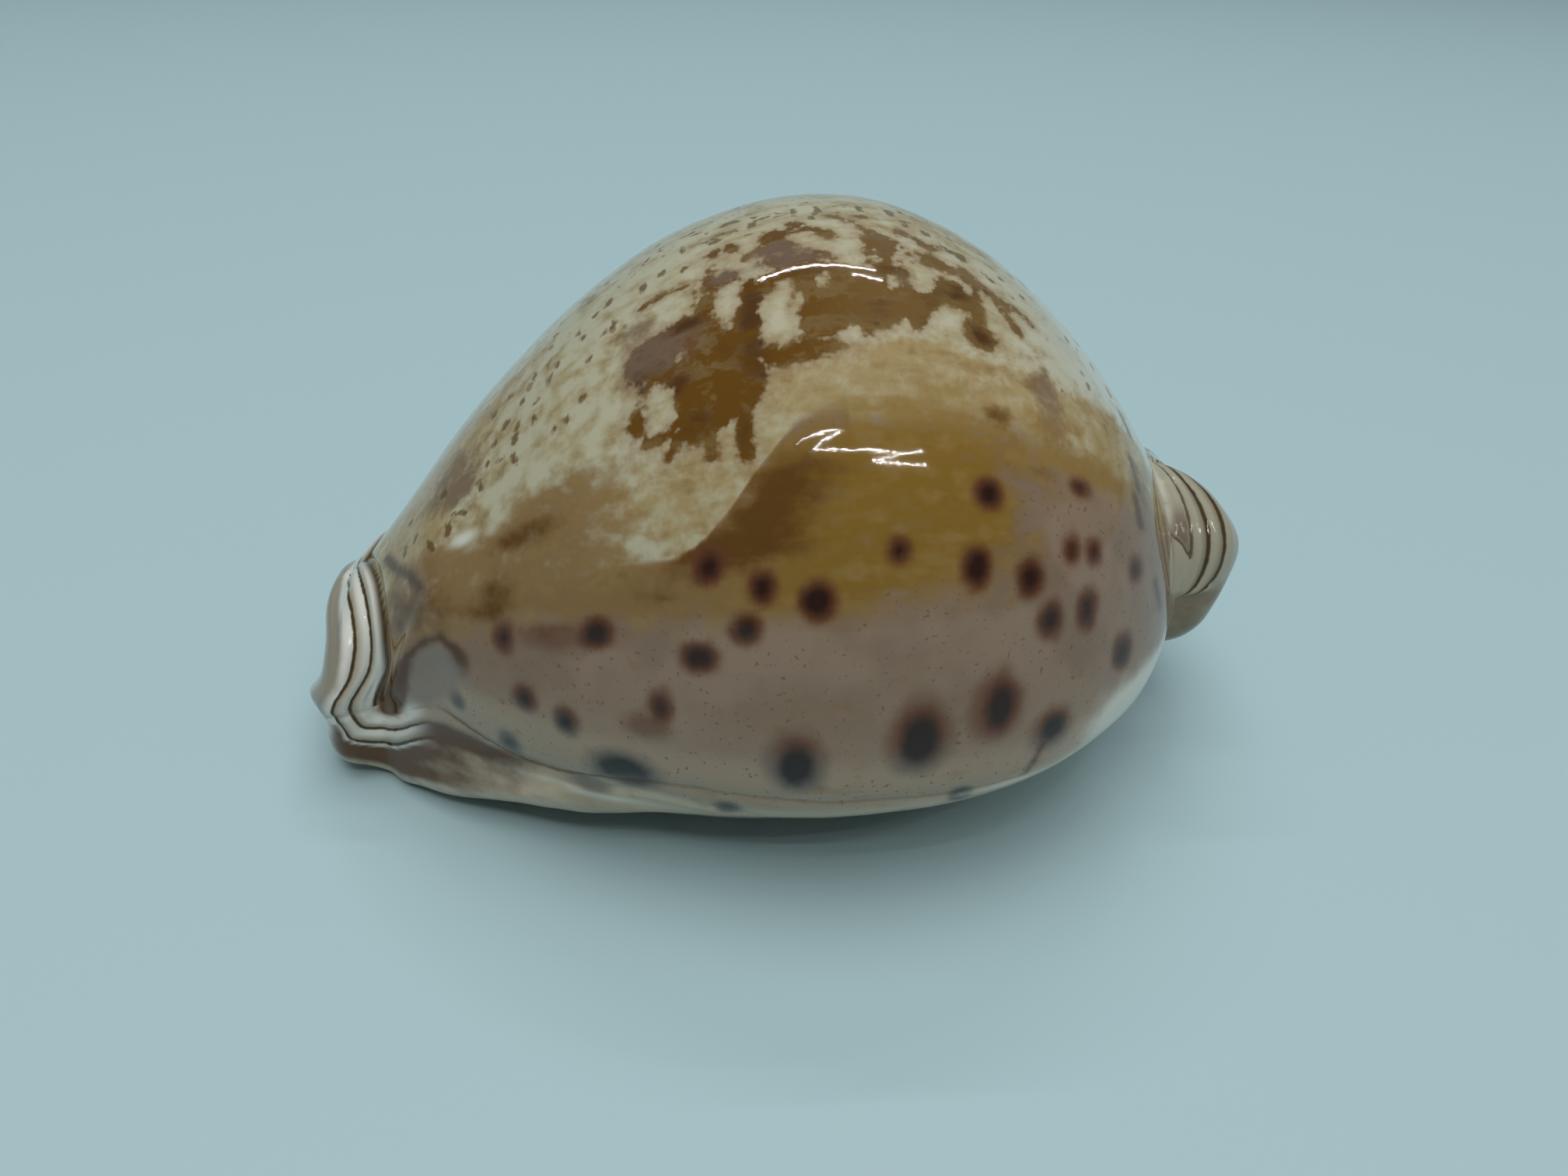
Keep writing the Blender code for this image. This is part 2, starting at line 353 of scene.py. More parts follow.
def collar_share(x, turn):
    """Share of the way from the crease (0) to the rim (1)."""
    crease = collar_crease(np.degrees(np.abs(turn)))
    return (crease - x) / (crease - SPOUT_ENDS[0] - front_lean(turn))


def collar_bands(x, turn):
    """Band number: its dark lines are at 1 and 2, and the lines draw together downwards."""
    low = np.degrees(np.abs(turn))
    first_line = 0.20 + 0.12 * ease((low - 60.0) / 40.0)
    second_line = 0.42 + 0.09 * ease((low - 50.0) / 50.0)
    beside = 1.0 + (collar_share(x, turn) - first_line) / (second_line - first_line)
    beneath = 1.0 + (low - 111.5 - 4.6 * bump(x, -26.5, 2.3)) / 6.2
    return soft_max(beside, beneath, 0.9) - 0.1


crease_place = collar_crease(low)
rim_share = collar_share(x, turn) * ease((112.0 - low) / 10.0)
collar = collar_bands(x, turn)
collar_here = ease((crease_place + 0.1 - x) / 0.2) * ease((107.0 - low) / 6.0)
collar_here = np.maximum(collar_here, ease((collar + 0.4) / 0.4) * ease((low - 100.0) / 5.0))
collar_here *= ease((-21.4 - x) / 3.0)
collar_here *= ease(np.clip((2.4 - collar) / 0.3, 0.0, 1.0) + ease((112.0 - low) / 6.0))
print("points on the collar:", int((collar_here > 0.5).sum()))

# %% [markdown]
# ## The ears' lines
# Each ear of the back spout is a flap with dark growth lines that fan out from one point low
# on its inner edge. The lines are nested arcs: the share of the way from the ear's crease to
# its rim, divided by the height of a full oval over the angle, so that they all meet where
# the oval closes.

# %% Line number of the ears
EAR_CREASE = 25.2
EAR_FAN_MIDDLE = 43.0            # degrees, where the fan of lines is widest
EAR_FAN_HALF = 48.0              # degrees from there to where the lines meet


def ear_lines(x, turn):
    """Below 0 near the crease, 1 at the edge of the brown flap, 2 and 3 on the dark lines."""
    share = (x - EAR_CREASE) / (SPOUT_ENDS[1] + back_lean(turn) - EAR_CREASE)
    across = np.abs(np.degrees(np.abs(turn)) - EAR_FAN_MIDDLE) / EAR_FAN_HALF
    fan = np.clip(1.0 - across ** 3, 0.02, 1.0) ** (1.0 / 3.0)
    return 1.0 + (share / fan - 0.23) / 0.2


ear = ear_lines(x, turn)
ear_here = ease((x - EAR_CREASE + 0.3) / 0.8)
print("points on the ears:", int((ear_here > 0.5).sum()))

# %% [markdown]
# ## Relief of the enamel
# The enamel is laid on in coats, and where a coat ends there is a faint step. The plainest one
# crosses the columella side under the blotch: below it lies the last coat of the flank. Lower
# down a shallow groove sets the flank off from the swollen margin, and on the front half the
# thick cream base ends in a soft step of its own. These are a tenth of a millimetre or two,
# but the gloss shows them, so they are carved and not left to a bump texture.

# %% Edges of the coats
def coat_edge(x):
    """Angle of the step in the flank's last coat, on the columella side."""
    return 60.5 - 16.0 * ease((x + 8.0) / 10.0)


def margin_line(x):
    """Angle of the groove above the margin."""
    return 102.0 + 14.5 * bump(x, -15.2, 5.0)


def base_edge(x):
    """Angle where the thick base coat begins."""
    return 128.0 - 16.0 * ease((x + 20.0) / 14.0)


columella = ease(-turn / 0.3)
edge_here = columella * ease((x + 10.5) / 4.0) * ease((3.0 - x) / 5.0)
past_edge = low - coat_edge(x)
past_base = low - base_edge(x)
print("the flank's coat ends at", round(float(coat_edge(-5.0)), 1), "degrees in the middle")

# %% [markdown]
# All the relief is one height per point, in millimetres along the normal: the ribs, crease
# and pinch of the collar, the ribs and crease of the ears, the coat's step, the groove, the pad
# of the base, the ridge and dimple of the neck, and a slow waviness without which a glossy
# surface looks like turned plastic. Each term is a bell or a step of the fields above.

# %% Carving
COLLAR_RIB = 0.21                # mm, as are the heights and depths below
COLLAR_CREASE = 0.34
COLLAR_PINCH = 0.15
EAR_RIB = 0.20
EAR_CREASE_DEPTH = 0.20
COAT_STEP = 0.14
MARGIN_GROOVE = 0.14
BASE_PAD = 0.20
NECK_RIDGE = 0.22
NECK_DIMPLE = 0.30


def band_rib(number, sharpness):
    """A round rib on each whole interval: the sine of half a turn, to a power."""
    return np.abs(np.sin(np.pi * number)) ** sharpness


def waviness(x, turn):
    """Slow unevenness of a grown surface: a few crossing sines."""
    first = np.sin(0.31 * x + 2.0 * turn) * np.sin(0.19 * x - 3.0 * turn + 1.0)
    second = np.sin(0.53 * x - 4.0 * turn + 2.0) * np.cos(0.41 * x + 5.0 * turn)
    return 0.06 * first + 0.03 * second


collar_rib = band_rib(collar, 0.7) * ease((3.4 - collar) / 0.8) * collar_here
collar_cut = bump(x, crease_place, 0.30) * ease((108.0 - low) / 8.0)
pinch = bump(low, 103.0, 2.2) * bump(x, -28.4, 1.0)
ear_fade = ease(ear / 0.5) * ease((3.9 - ear) / 0.6) * ease((92.0 - low) / 8.0)
ear_rib = band_rib(ear, 0.8) * ear_here * ear_fade
ear_cut = bump(x, EAR_CREASE, 0.35) * ease((100.0 - low) / 15.0)
coat_step = edge_here * ease(past_edge / 0.9) * ease((22.0 - past_edge) / 20.0)
groove_here = ease((x + 23.5) / 4.0) * ease((15.0 - x) / 7.0)
margin_groove = bump(low, margin_line(x), 2.4) * groove_here
base_here = ease((2.0 - x) / 10.0) * ease((x + 27.0) / 3.0)
base_pad = ease(past_base / 2.5) * ease((60.0 - past_base) / 50.0) * base_here
dimple = bump(x, -21.4, 1.7) * bump(low, 90.0, 9.0)
neck_ridge = bump(x + 0.12 * (low - 80.0), -23.6, 0.9) * bump(low, 78.0, 22.0)

relief = COLLAR_RIB * collar_rib - COLLAR_CREASE * collar_cut - COLLAR_PINCH * pinch
relief += EAR_RIB * ear_rib - EAR_CREASE_DEPTH * ear_cut
relief += COAT_STEP * coat_step - MARGIN_GROOVE * margin_groove + BASE_PAD * base_pad
relief += NECK_RIDGE * neck_ridge - NECK_DIMPLE * dimple + waviness(x, turn)
relief *= on_outside * ease((176.0 - low) / 20.0)
print("relief from", round(float(relief.min()), 2), "to", round(float(relief.max()), 2), "mm")

# %% [markdown]
# ## The mesh
# The carved grid is put into one mesh with foreach_set. Its quads join neighbouring rings, and
# the loop closes by taking the step after the last one to be the first. Each rim gets an end
# face made of strips, which pair a run of outer steps with one step of the cavity. The finished
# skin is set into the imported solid's box: middle on middle, underside on the floor.

# %% Points, faces and placing
def rim_faces():
    """The end face of a rim, as strips of one cavity step each, in the order of the section."""
    skip = STEPS_PER_CAVITY_STEP
    strips = OUTER_STEPS // skip
    cave_start = OUTER_STEPS + 1 + LIP_STEPS
    faces = []
    for strip in range(strips):
        outer_run = list(range(strip * skip, (strip + 1) * skip + 1))
        cave_step = cave_start + strips - strip
        face = outer_run + [cave_step - 1, cave_step]
        if strip == 0:
            face += list(range(cave_step + 1, cave_step + 1 + LIP_STEPS))
        if strip == strips - 1:
            face[len(outer_run):len(outer_run)] = range(OUTER_STEPS + 1, cave_start)
        faces.append(face)
    return faces


def grid_quads(ring_count, step_count):
    """Corners of the quads between neighbouring rings, one row for each quad."""
    ring, step = cross_grid(np.arange(ring_count - 1), np.arange(step_count))
    following = (step + 1) % step_count
    here, beyond = ring * step_count, (ring + 1) * step_count
    corners = [here + step, beyond + step, beyond + following, here + following]
    return np.stack(corners, axis=-1).reshape(-1, 4)


def grid_mesh(name, points):
    """A mesh from the grid of points in metres, with both rims closed."""
    ring_count, step_count = points.shape[:2]
    last = (ring_count - 1) * step_count
    rims = [face for end in rim_faces() for face in (end, [last + step for step in reversed(end)])]
    quads = grid_quads(ring_count, step_count)
    corners = np.concatenate([quads.ravel(), np.concatenate(rims)]).astype(np.int32)
    sizes = np.concatenate([np.full(len(quads), 4), [len(face) for face in rims]]).astype(np.int32)
    mesh = bpy.data.meshes.new(name)
    mesh.vertices.add(ring_count * step_count)
    mesh.vertices.foreach_set("co", points.astype(np.float32).ravel())
    mesh.loops.add(len(corners))
    mesh.loops.foreach_set("vertex_index", corners)
    mesh.polygons.add(len(sizes))
    starts = np.concatenate([[0], np.cumsum(sizes)[:-1]]).astype(np.int32)
    mesh.polygons.foreach_set("loop_start", starts)
    mesh.update(calc_edges=True)
    mesh.validate()
    mesh.shade_smooth()
    return mesh


carved = plain + normals * relief[..., None]
carved[..., 2] = np.maximum(carved[..., 2], 0.0)
middle = 0.5 * (carved.min(axis=(0, 1)) + carved.max(axis=(0, 1)))
shell_low, shell_high = (np.array(corner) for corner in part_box("cowrie_shell"))
place = 0.5 * (shell_low + shell_high) - middle * MM
place[2] = shell_low[2] - carved[..., 2].min() * MM
skin_mesh = grid_mesh("cowrie_skin", carved * MM + place)
skin = bpy.data.objects.new("cowrie_skin", skin_mesh)
bpy.context.scene.collection.objects.link(skin)
triangles = sum(len(polygon.vertices) - 2 for polygon in skin_mesh.polygons)
print("skin:", len(skin_mesh.vertices), "points,", triangles, "triangles")

# %% [markdown]
# ## Where the colours lie
# The colours are layers of one enamel, so they have no edges in the mesh. Each layer gets a
# field, one number at every point, which is stored as an attribute of the mesh. There are two
# kinds. A cloud field says how much of a soft tint lies at a point. A shape field says how many
# millimetres a point lies inside the nearest stroke or oval, and is negative outside. The
# material adds noise to a shape field and cuts it at zero, and this gives ragged edges that
# stay sharp however close one looks. All places are x in mm and an angle, negative on the
# columella side.

# %% Clouds, strokes, ovals and attributes
OUTSIDE = -9.0                   # mm, where no shape is near

step_length = np.linalg.norm(np.gradient(plain, axis=1), axis=-1)
step_angle = np.abs(np.gradient(degrees, axis=1))
mm_per_degree = np.where(step_angle > 0.1, step_length / np.maximum(step_angle, 0.1), 0.3)


def clouds(table):
    """Sum of soft tints (x, angle, half length, half angle, amount), kept between 0 and 1."""
    total = np.zeros_like(x)
    for place_x, angle, half_length, half_angle, amount in table:
        total += amount * bump(x, place_x, 1.2 * half_length) * bump(degrees, angle, 1.2 * half_angle)
    return np.clip(total, 0.0, 1.0)


def strokes(table):
    """Depth inside the nearest stroke (x, angle, x, angle, half width), by the foot on its axis."""
    depth_inside = np.full_like(x, OUTSIDE)
    for start_x, start_angle, end_x, end_angle, half_width in table:
        along, across = x - start_x, (degrees - start_angle) * mm_per_degree
        run_x, run_across = end_x - start_x, (end_angle - start_angle) * mm_per_degree
        foot = (along * run_x + across * run_across) / (run_x ** 2 + run_across ** 2)
        foot = np.clip(foot, 0.0, 1.0)
        reach = np.hypot(along - foot * run_x, across - foot * run_across)
        depth_inside = np.maximum(depth_inside, half_width - reach)
    return depth_inside


def ovals(table, fullness=2.5):
    """Depth inside the nearest oval (x, angle, half length, half angle). 2 is an ellipse."""
    depth_inside = np.full_like(x, OUTSIDE)
    for place_x, angle, half_length, half_angle in table:
        along, across = np.abs(x - place_x) / half_length, np.abs(degrees - angle) / half_angle
        share = (along ** fullness + across ** fullness) ** (1.0 / fullness)
        radius = np.minimum(half_length, half_angle * mm_per_degree)
        depth_inside = np.maximum(depth_inside, (1.0 - share) * radius)
    return depth_inside


def store(name, field):
    """Keep a field as a float attribute of the skin."""
    attribute = skin_mesh.attributes.new(name, "FLOAT", "POINT")
    attribute.data.foreach_set("value", np.ascontiguousarray(field, dtype=np.float32).ravel())
    print(f"{name}: {field.min():.2f} to {field.max():.2f}")


# %% [markdown]
# ## The blotch
# A large brown blotch lies on the columella side of the back. It is a chain of lobes that runs
# from the middle to the right and curls up there, and cream islands are left free in it. It
# was laid down in several pulses, so its lobes differ in tone. The lip side isn't known and
# gets a smaller blotch of the same kind.

# %% Lobes and islands
BLOTCH_LOBES = [
    (-7.7, -29.6, 1.5, 4.4), (-5.7, -27.5, 1.4, 3.4), (-4.0, -31.5, 2.1, 5.0),
    (-4.2, -37.5, 2.4, 7.0), (-6.6, -34.0, 1.8, 2.2), (-8.6, -39.8, 0.6, 2.9),
    (-5.6, -43.0, 1.0, 3.2), (-4.5, -18.3, 0.5, 3.2), (-3.6, -19.5, 0.8, 1.9),
    (-2.5, -25.5, 0.8, 6.0), (-4.8, -24.5, 0.4, 3.0), (0.4, -22.4, 2.6, 2.8),
    (1.4, -28.6, 1.7, 6.0), (3.9, -28.2, 2.0, 4.8), (6.2, -27.4, 1.5, 3.4),
    (-0.2, -35.5, 2.6, 2.0), (-0.9, -11.6, 0.8, 2.4), (-0.9, -15.3, 1.4, 1.6),
    (0.2, -18.3, 2.1, 1.6), (5.0, -16.8, 1.1, 4.8), (7.9, -17.2, 1.7, 2.0),
    (10.1, -19.0, 0.5, 2.8), (9.2, -23.6, 1.5, 3.4), (5.2, -22.5, 1.1, 2.6),
    (3.0, -23.4, 2.2, 2.4), (10.0, -31.0, 1.0, 2.5), (12.4, -26.2, 0.4, 1.3),
    (-4.3, -12.0, 0.5, 1.5), (3.7, -33.0, 0.4, 1.7), (6.3, -31.5, 0.5, 1.8),
    (4.0, 32.0, 3.4, 5.0), (8.0, 27.0, 2.2, 4.5), (-1.0, 27.0, 2.2, 4.0),
    (-5.6, 32.5, 2.2, 3.0), (10.5, 35.0, 1.2, 4.0), (1.0, 38.0, 1.6, 3.0),
    (-7.8, 28.6, 1.0, 3.4), (6.4, 38.4, 0.8, 3.4), (-3.4, 37.5, 0.9, 3.0),
]
BLOTCH_ARMS = [
    (-4.9, -43.5, -4.7, -48.0, 0.25), (-6.4, -43.5, -6.9, -46.5, 0.22),
    (-8.4, -17.6, -6.6, -17.0, 0.20), (-6.6, -17.0, -5.6, -18.3, 0.20),
    (-5.6, -18.3, -5.4, -22.5, 0.15), (-8.1, -43.5, -7.2, -43.5, 0.20),
    (-7.2, -43.5, -6.5, -42.0, 0.22), (-3.1, -43.5, -2.9, -48.5, 0.42),
    (-3.3, -11.2, -2.9, -13.2, 0.30), (-2.9, -13.2, -2.5, -16.0, 0.30),
    (0.2, -8.3, 1.1, -10.2, 0.28), (1.1, -10.2, 2.4, -13.8, 0.30),
    (-0.4, -10.8, 1.2, -11.0, 0.30), (2.4, -7.1, 3.1, -7.4, 0.22),
    (3.0, -7.5, 4.3, -11.0, 0.17), (4.3, -11.0, 6.3, -14.8, 0.22),
    (6.5, -10.2, 8.2, -12.9, 0.32), (8.2, -12.9, 8.9, -11.5, 0.22),
    (10.8, -18.5, 12.3, -21.8, 0.30), (12.7, -20.5, 13.6, -22.8, 0.18),
    (11.6, -22.5, 12.5, -25.5, 0.25), (7.8, -24.6, 6.4, -31.0, 0.50),
    (10.0, -26.0, 10.0, -29.5, 0.40), (9.8, -16.0, 10.1, -17.5, 0.30),
    (-3.0, 24.0, -5.0, 22.0, 0.3), (11.0, 30.0, 13.0, 27.0, 0.3), (2.0, 25.0, 3.5, 21.0, 0.3),
]
ISLANDS = [
    (-6.1, -20.6, 0.65, 2.3), (-5.7, -22.8, 0.25, 1.5), (-3.6, -23.5, 0.65, 2.8),
    (-3.75, -26.8, 0.35, 2.0), (-0.9, -31.4, 0.6, 2.6), (1.6, -24.0, 0.28, 1.3),
    (-0.6, -23.9, 0.4, 0.8), (-7.4, -39.8, 0.75, 2.3), (-7.6, -36.0, 0.5, 0.9),
    (-9.0, -36.4, 0.3, 1.0), (-3.4, -15.4, 0.5, 1.7), (-2.3, -13.4, 0.45, 1.4),
    (-2.4, -19.3, 0.5, 1.5), (0.8, -13.6, 0.75, 1.4), (0.65, -17.3, 0.4, 0.5),
    (3.2, -17.0, 0.85, 3.6), (4.6, -18.8, 0.28, 1.1), (5.9, -18.8, 0.2, 0.8),
    (6.9, -22.2, 0.62, 2.5), (7.05, -19.3, 0.16, 1.4), (8.25, -20.0, 0.4, 0.8),
    (9.85, -21.2, 0.25, 0.9), (5.4, -23.6, 0.25, 1.0), (3.6, 30.5, 0.8, 2.2),
    (6.4, 25.0, 0.5, 1.6), (-5.2, 30.4, 0.7, 1.3), (8.6, 29.0, 0.5, 1.8),
    (1.2, 33.4, 0.7, 1.2), (-1.6, 29.0, 0.4, 1.6),
]
HEART = [
    (-1.6, -27.0, -1.25, -33.0, 0.33), (0.1, -26.7, -0.5, -33.0, 0.33),
    (-1.25, -33.0, -0.8, -34.0, 0.25),
]

blotch = np.maximum(ovals(BLOTCH_LOBES), strokes(BLOTCH_ARMS) + 0.10)
islands = np.maximum(ovals(ISLANDS), strokes(HEART))
store("blotch", np.minimum(blotch, -islands))
store("blotch_dark", clouds([
    (-5.9, -26.0, 1.3, 1.5, 0.6), (-2.4, -28.0, 0.7, 6.0, 0.7), (-6.4, -36.5, 0.6, 1.5, 0.8),
    (-5.6, -42.6, 1.0, 1.8, 0.7), (-3.9, -32.5, 0.5, 1.5, 0.5), (7.2, -27.0, 0.7, 4.0, 0.6),
    (-3.0, -45.5, 0.5, 2.5, 0.6), (-2.0, -36.5, 1.0, 2.0, 0.5), (-8.2, -33.0, 0.9, 2.0, 0.7),
    (4.6, -29.5, 1.6, 1.4, 0.5), (5.2, -20.5, 0.8, 2.0, 0.5), (9.4, -22.5, 1.0, 2.2, 0.6),
    (0.3, -21.5, 2.0, 0.8, 0.5), (10.1, -31.0, 0.7, 2.0, 0.5),
]))

# %% [markdown]
# ## Small marks
# The back is strewn with small brown marks: round dots on the front half, and short bent
# strokes that run together in a net along the top. The plainest of them have a place of their
# own here. The material adds many more from noise, in two zones of the skin.

# %% Dots and strokes with a place of their own
DOTS = [
    (-17.4, -14.5, 0.20, 1.2), (-16.4, -13.5, 0.15, 1.8), (-14.8, -14.9, 0.15, 1.9),
    (-13.85, -14.5, 0.15, 1.3), (-13.3, -17.4, 0.20, 1.1), (-12.1, -12.0, 0.20, 0.9),
    (-11.8, -14.9, 0.22, 1.1), (-11.1, -10.3, 0.25, 0.9), (-10.3, -9.5, 0.25, 1.3),
    (-10.5, -18.2, 0.25, 0.7), (-9.95, -17.4, 0.27, 1.1), (-13.8, -19.9, 0.20, 1.4),
    (-15.5, -19.5, 0.18, 1.0), (-16.5, -22.0, 0.27, 1.2), (-11.35, -22.4, 0.22, 1.2),
    (-14.5, -22.9, 0.35, 0.6), (-17.2, -24.7, 0.22, 1.2), (-15.7, -25.0, 0.20, 0.8),
    (-14.6, -27.4, 0.22, 1.4), (-15.8, -28.2, 0.22, 1.6), (-17.6, -28.9, 0.20, 0.9),
    (-16.7, -30.4, 0.35, 0.7), (-11.65, -29.9, 0.22, 1.2), (-12.6, -32.4, 0.20, 1.1),
    (-13.35, -33.0, 0.18, 0.9), (-20.5, -27.0, 0.30, 1.5), (-20.0, -40.0, 0.20, 2.0),
    (-23.1, -23.7, 0.20, 1.3), (-22.5, -34.5, 0.20, 2.0), (-23.3, -35.8, 0.15, 2.0),
    (-9.0, -5.0, 0.25, 0.6), (-7.0, -4.6, 0.25, 0.6), (-5.9, -6.0, 0.15, 1.5),
    (-4.7, -6.2, 0.28, 0.5), (-4.1, -7.5, 0.40, 0.9), (-3.0, -6.2, 0.40, 0.6),
    (-2.25, -8.8, 0.20, 0.6), (-1.9, -5.6, 0.25, 1.4), (-1.1, -4.4, 0.40, 0.7),
    (0.6, -4.2, 0.20, 1.5), (1.95, -4.2, 0.22, 1.8), (1.5, -6.8, 0.20, 1.2),
    (-5.9, -12.9, 0.20, 1.0), (-8.2, -12.0, 0.22, 1.6), (-7.1, -10.8, 0.28, 1.2),
    (3.6, -2.3, 0.18, 0.8), (4.5, -3.0, 0.25, 1.5), (4.4, -6.9, 0.35, 0.8),
    (5.4, -7.3, 0.35, 0.5), (6.3, -2.5, 0.30, 1.7), (7.0, -5.8, 0.20, 1.5),
    (8.25, -7.6, 0.35, 1.2), (10.1, -11.5, 0.40, 1.5), (9.9, -4.0, 0.15, 1.8),
    (12.8, -17.0, 0.30, 0.6), (12.6, -12.0, 0.18, 0.9), (13.8, -14.2, 0.22, 0.9),
]
DASHES = [
    (-15.9, -31.8, -15.6, -34.8, 0.16), (-18.1, -32.0, -17.9, -34.8, 0.15),
    (-19.7, -36.0, -18.9, -38.3, 0.16), (-21.4, -40.5, -21.0, -44.0, 0.18),
    (11.1, -13.2, 11.9, -15.5, 0.18), (8.9, -9.5, 9.6, -12.0, 0.2),
]
store("marks", np.maximum(ovals(DOTS), strokes(DASHES)))
dotted = ease((34.0 - low) / 18.0) * ease((x + 23.0) / 4.0) * ease((-6.0 - x) / 5.0)
far_spread = 20.0 * ease(turn / 0.25)
netted = 0.92 * ease((18.0 + far_spread - low) / (18.0 + 0.6 * far_spread)) * ease((x + 22.0) / 10.0)
dotted_end = 1.3 * ease((44.0 - low) / 18.0) * ease((x - 12.0) / 3.0) * ease((23.0 - x) / 3.0)
store("dots_here", np.maximum(dotted, dotted_end))
store("net_here", netted * ease((21.0 - x) / 8.0))

# %% [markdown]
# ## Cream, tan and gold
# Three soft tints lie between the marks. The cream is warmed to tan in clouds and streaks, a
# golden brown wash lies along the shoulder of the flank, and a dull purplish brown shows in a
# few places where an older coat looks through. The golden wash ends sharply at the edge of the
# flank's coat and softly everywhere else.

# %% Fields of the tints
TAN_CLOUDS = [
    (-6.0, -53.0, 6.0, 7.0, 0.8), (3.0, -43.0, 7.0, 5.0, 0.8), (11.5, -31.0, 3.0, 7.0, 0.25),
    (4.5, -38.5, 4.0, 3.5, 0.65), (18.0, -35.0, 3.0, 4.0, 0.5), (-21.0, -26.0, 2.4, 12.0, 0.6),
    (8.5, -46.0, 5.0, 4.5, 0.6), (14.0, -43.0, 5.0, 8.0, 0.6), (-12.0, -27.0, 3.0, 7.0, 0.3),
    (-20.5, -12.0, 3.8, 9.0, 1.1), (17.5, -44.0, 4.0, 6.0, 0.7), (-22.5, -36.0, 1.8, 10.0, 0.8),
    (-23.2, -20.0, 2.2, 20.0, 1.0), (-8.0, -22.0, 1.2, 4.0, 0.5), (-20.0, 20.0, 5.0, 20.0, 0.8),
    (22.0, -44.0, 2.2, 14.0, 1.0), (20.5, -52.0, 2.0, 8.0, 0.7), (6.4, -36.0, 1.4, 2.0, 0.6),
    (9.0, -4.0, 4.0, 7.0, 0.8),
    (0.0, 43.0, 12.0, 6.0, 0.7), (12.0, 38.0, 6.0, 8.0, 0.6), (21.5, 40.0, 2.5, 16.0, 0.8),
]
GOLD_CLOUDS = [
    (-15.5, -55.0, 5.5, 8.5, 1.0), (-12.5, -48.5, 3.6, 4.5, 0.7), (-22.2, -57.0, 2.2, 10.0, 0.9),
    (-9.5, -63.5, 6.0, 4.0, 0.8), (-3.5, -60.5, 5.0, 5.5, 1.0), (1.0, -54.0, 4.0, 8.0, 1.0),
    (4.0, -57.5, 4.0, 6.0, 0.8), (7.5, -55.0, 2.6, 6.5, 0.8), (12.0, -47.0, 5.5, 6.5, 0.5),
    (3.5, -41.0, 6.0, 5.0, 0.12),
    (9.5, -59.5, 3.0, 4.0, 0.35), (1.5, -64.5, 7.0, 4.0, 0.35),
    (21.8, -42.0, 1.8, 8.0, 0.5), (-20.5, -10.0, 3.5, 9.0, 0.35),
    (17.5, -49.0, 3.0, 3.0, 0.4), (-9.0, -45.5, 4.0, 2.0, 0.5), (-9.0, -57.5, 4.0, 3.5, 0.6),
    (-20.5, -66.0, 3.0, 9.0, 0.6),
    (-23.0, -63.0, 2.4, 12.0, 1.0), (-15.0, 54.0, 6.0, 9.0, 1.0),
    (-5.0, 58.0, 7.0, 7.0, 1.0), (6.0, 55.0, 6.0, 7.0, 1.0), (-21.0, 24.0, 3.5, 16.0, 0.5),
]
DARK_CLOUDS = [
    (-15.0, -50.3, 1.8, 2.4, 0.9), (-16.9, -60.5, 1.0, 4.0, 0.8), (-17.8, -65.0, 1.5, 2.4, 0.6),
    (-4.0, -60.0, 3.5, 2.4, 1.1), (-2.0, -55.5, 2.0, 3.5, 0.9), (0.3, -51.5, 2.8, 3.0, 0.6),
    (-21.5, -57.0, 1.6, 5.0, 0.5), (10.5, -43.6, 0.9, 1.5, 0.8), (12.9, -50.6, 0.9, 1.0, 0.5),
    (-21.5, -67.0, 1.8, 6.0, 0.65), (-13.8, -69.5, 1.4, 1.2, 0.6), (-8.0, -65.0, 3.0, 2.0, 0.35),
    (-23.8, -60.0, 1.2, 9.0, 0.7), (20.8, -46.0, 1.0, 7.0, 0.55), (-13.5, 51.0, 2.0, 3.0, 0.6),
    (-4.0, 61.0, 4.0, 2.5, 0.7), (5.0, 57.0, 4.0, 3.0, 0.6),
]
PURPLE_CLOUDS = [
    (-20.2, -23.5, 1.9, 9.0, 0.9), (-19.3, -32.0, 0.9, 3.0, 0.6), (-8.6, -22.0, 1.2, 3.5, 0.6),
    (-6.8, -28.0, 1.8, 3.0, 0.8), (-0.7, -15.5, 1.3, 1.8, 1.0), (0.2, -18.6, 2.0, 1.5, 0.9),
    (-3.8, -19.0, 1.0, 1.8, 0.9), (-8.6, -31.0, 0.9, 4.0, 0.6), (5.2, -16.0, 1.2, 4.0, 0.5),
    (13.6, -37.0, 0.9, 4.5, 0.8), (11.2, -47.0, 1.2, 3.0, 0.6), (6.2, -24.0, 1.0, 2.0, 0.6),
    (10.8, -57.0, 2.2, 3.0, 0.5), (-21.8, -50.0, 1.4, 6.0, 0.7), (14.3, -45.0, 1.0, 4.0, 0.5),
    (-7.0, -32.5, 1.4, 2.0, 0.4), (-18.5, 30.0, 1.6, 8.0, 0.8), (12.0, 30.0, 1.2, 5.0, 0.6),
    (-2.0, 22.0, 1.6, 2.5, 0.7),
]
gold_fade = columella * ease((x + 14.5) / 10.0) * ease((3.0 - x) / 5.0)
at_coat_edge = gold_fade * ease(0.5 - past_edge / 0.8)
store("tan", clouds(TAN_CLOUDS))
store("gold", clouds(GOLD_CLOUDS) * (1.0 - at_coat_edge))
store("dark_gold", clouds(DARK_CLOUDS) * (1.0 - at_coat_edge))
store("purple", clouds(PURPLE_CLOUDS))

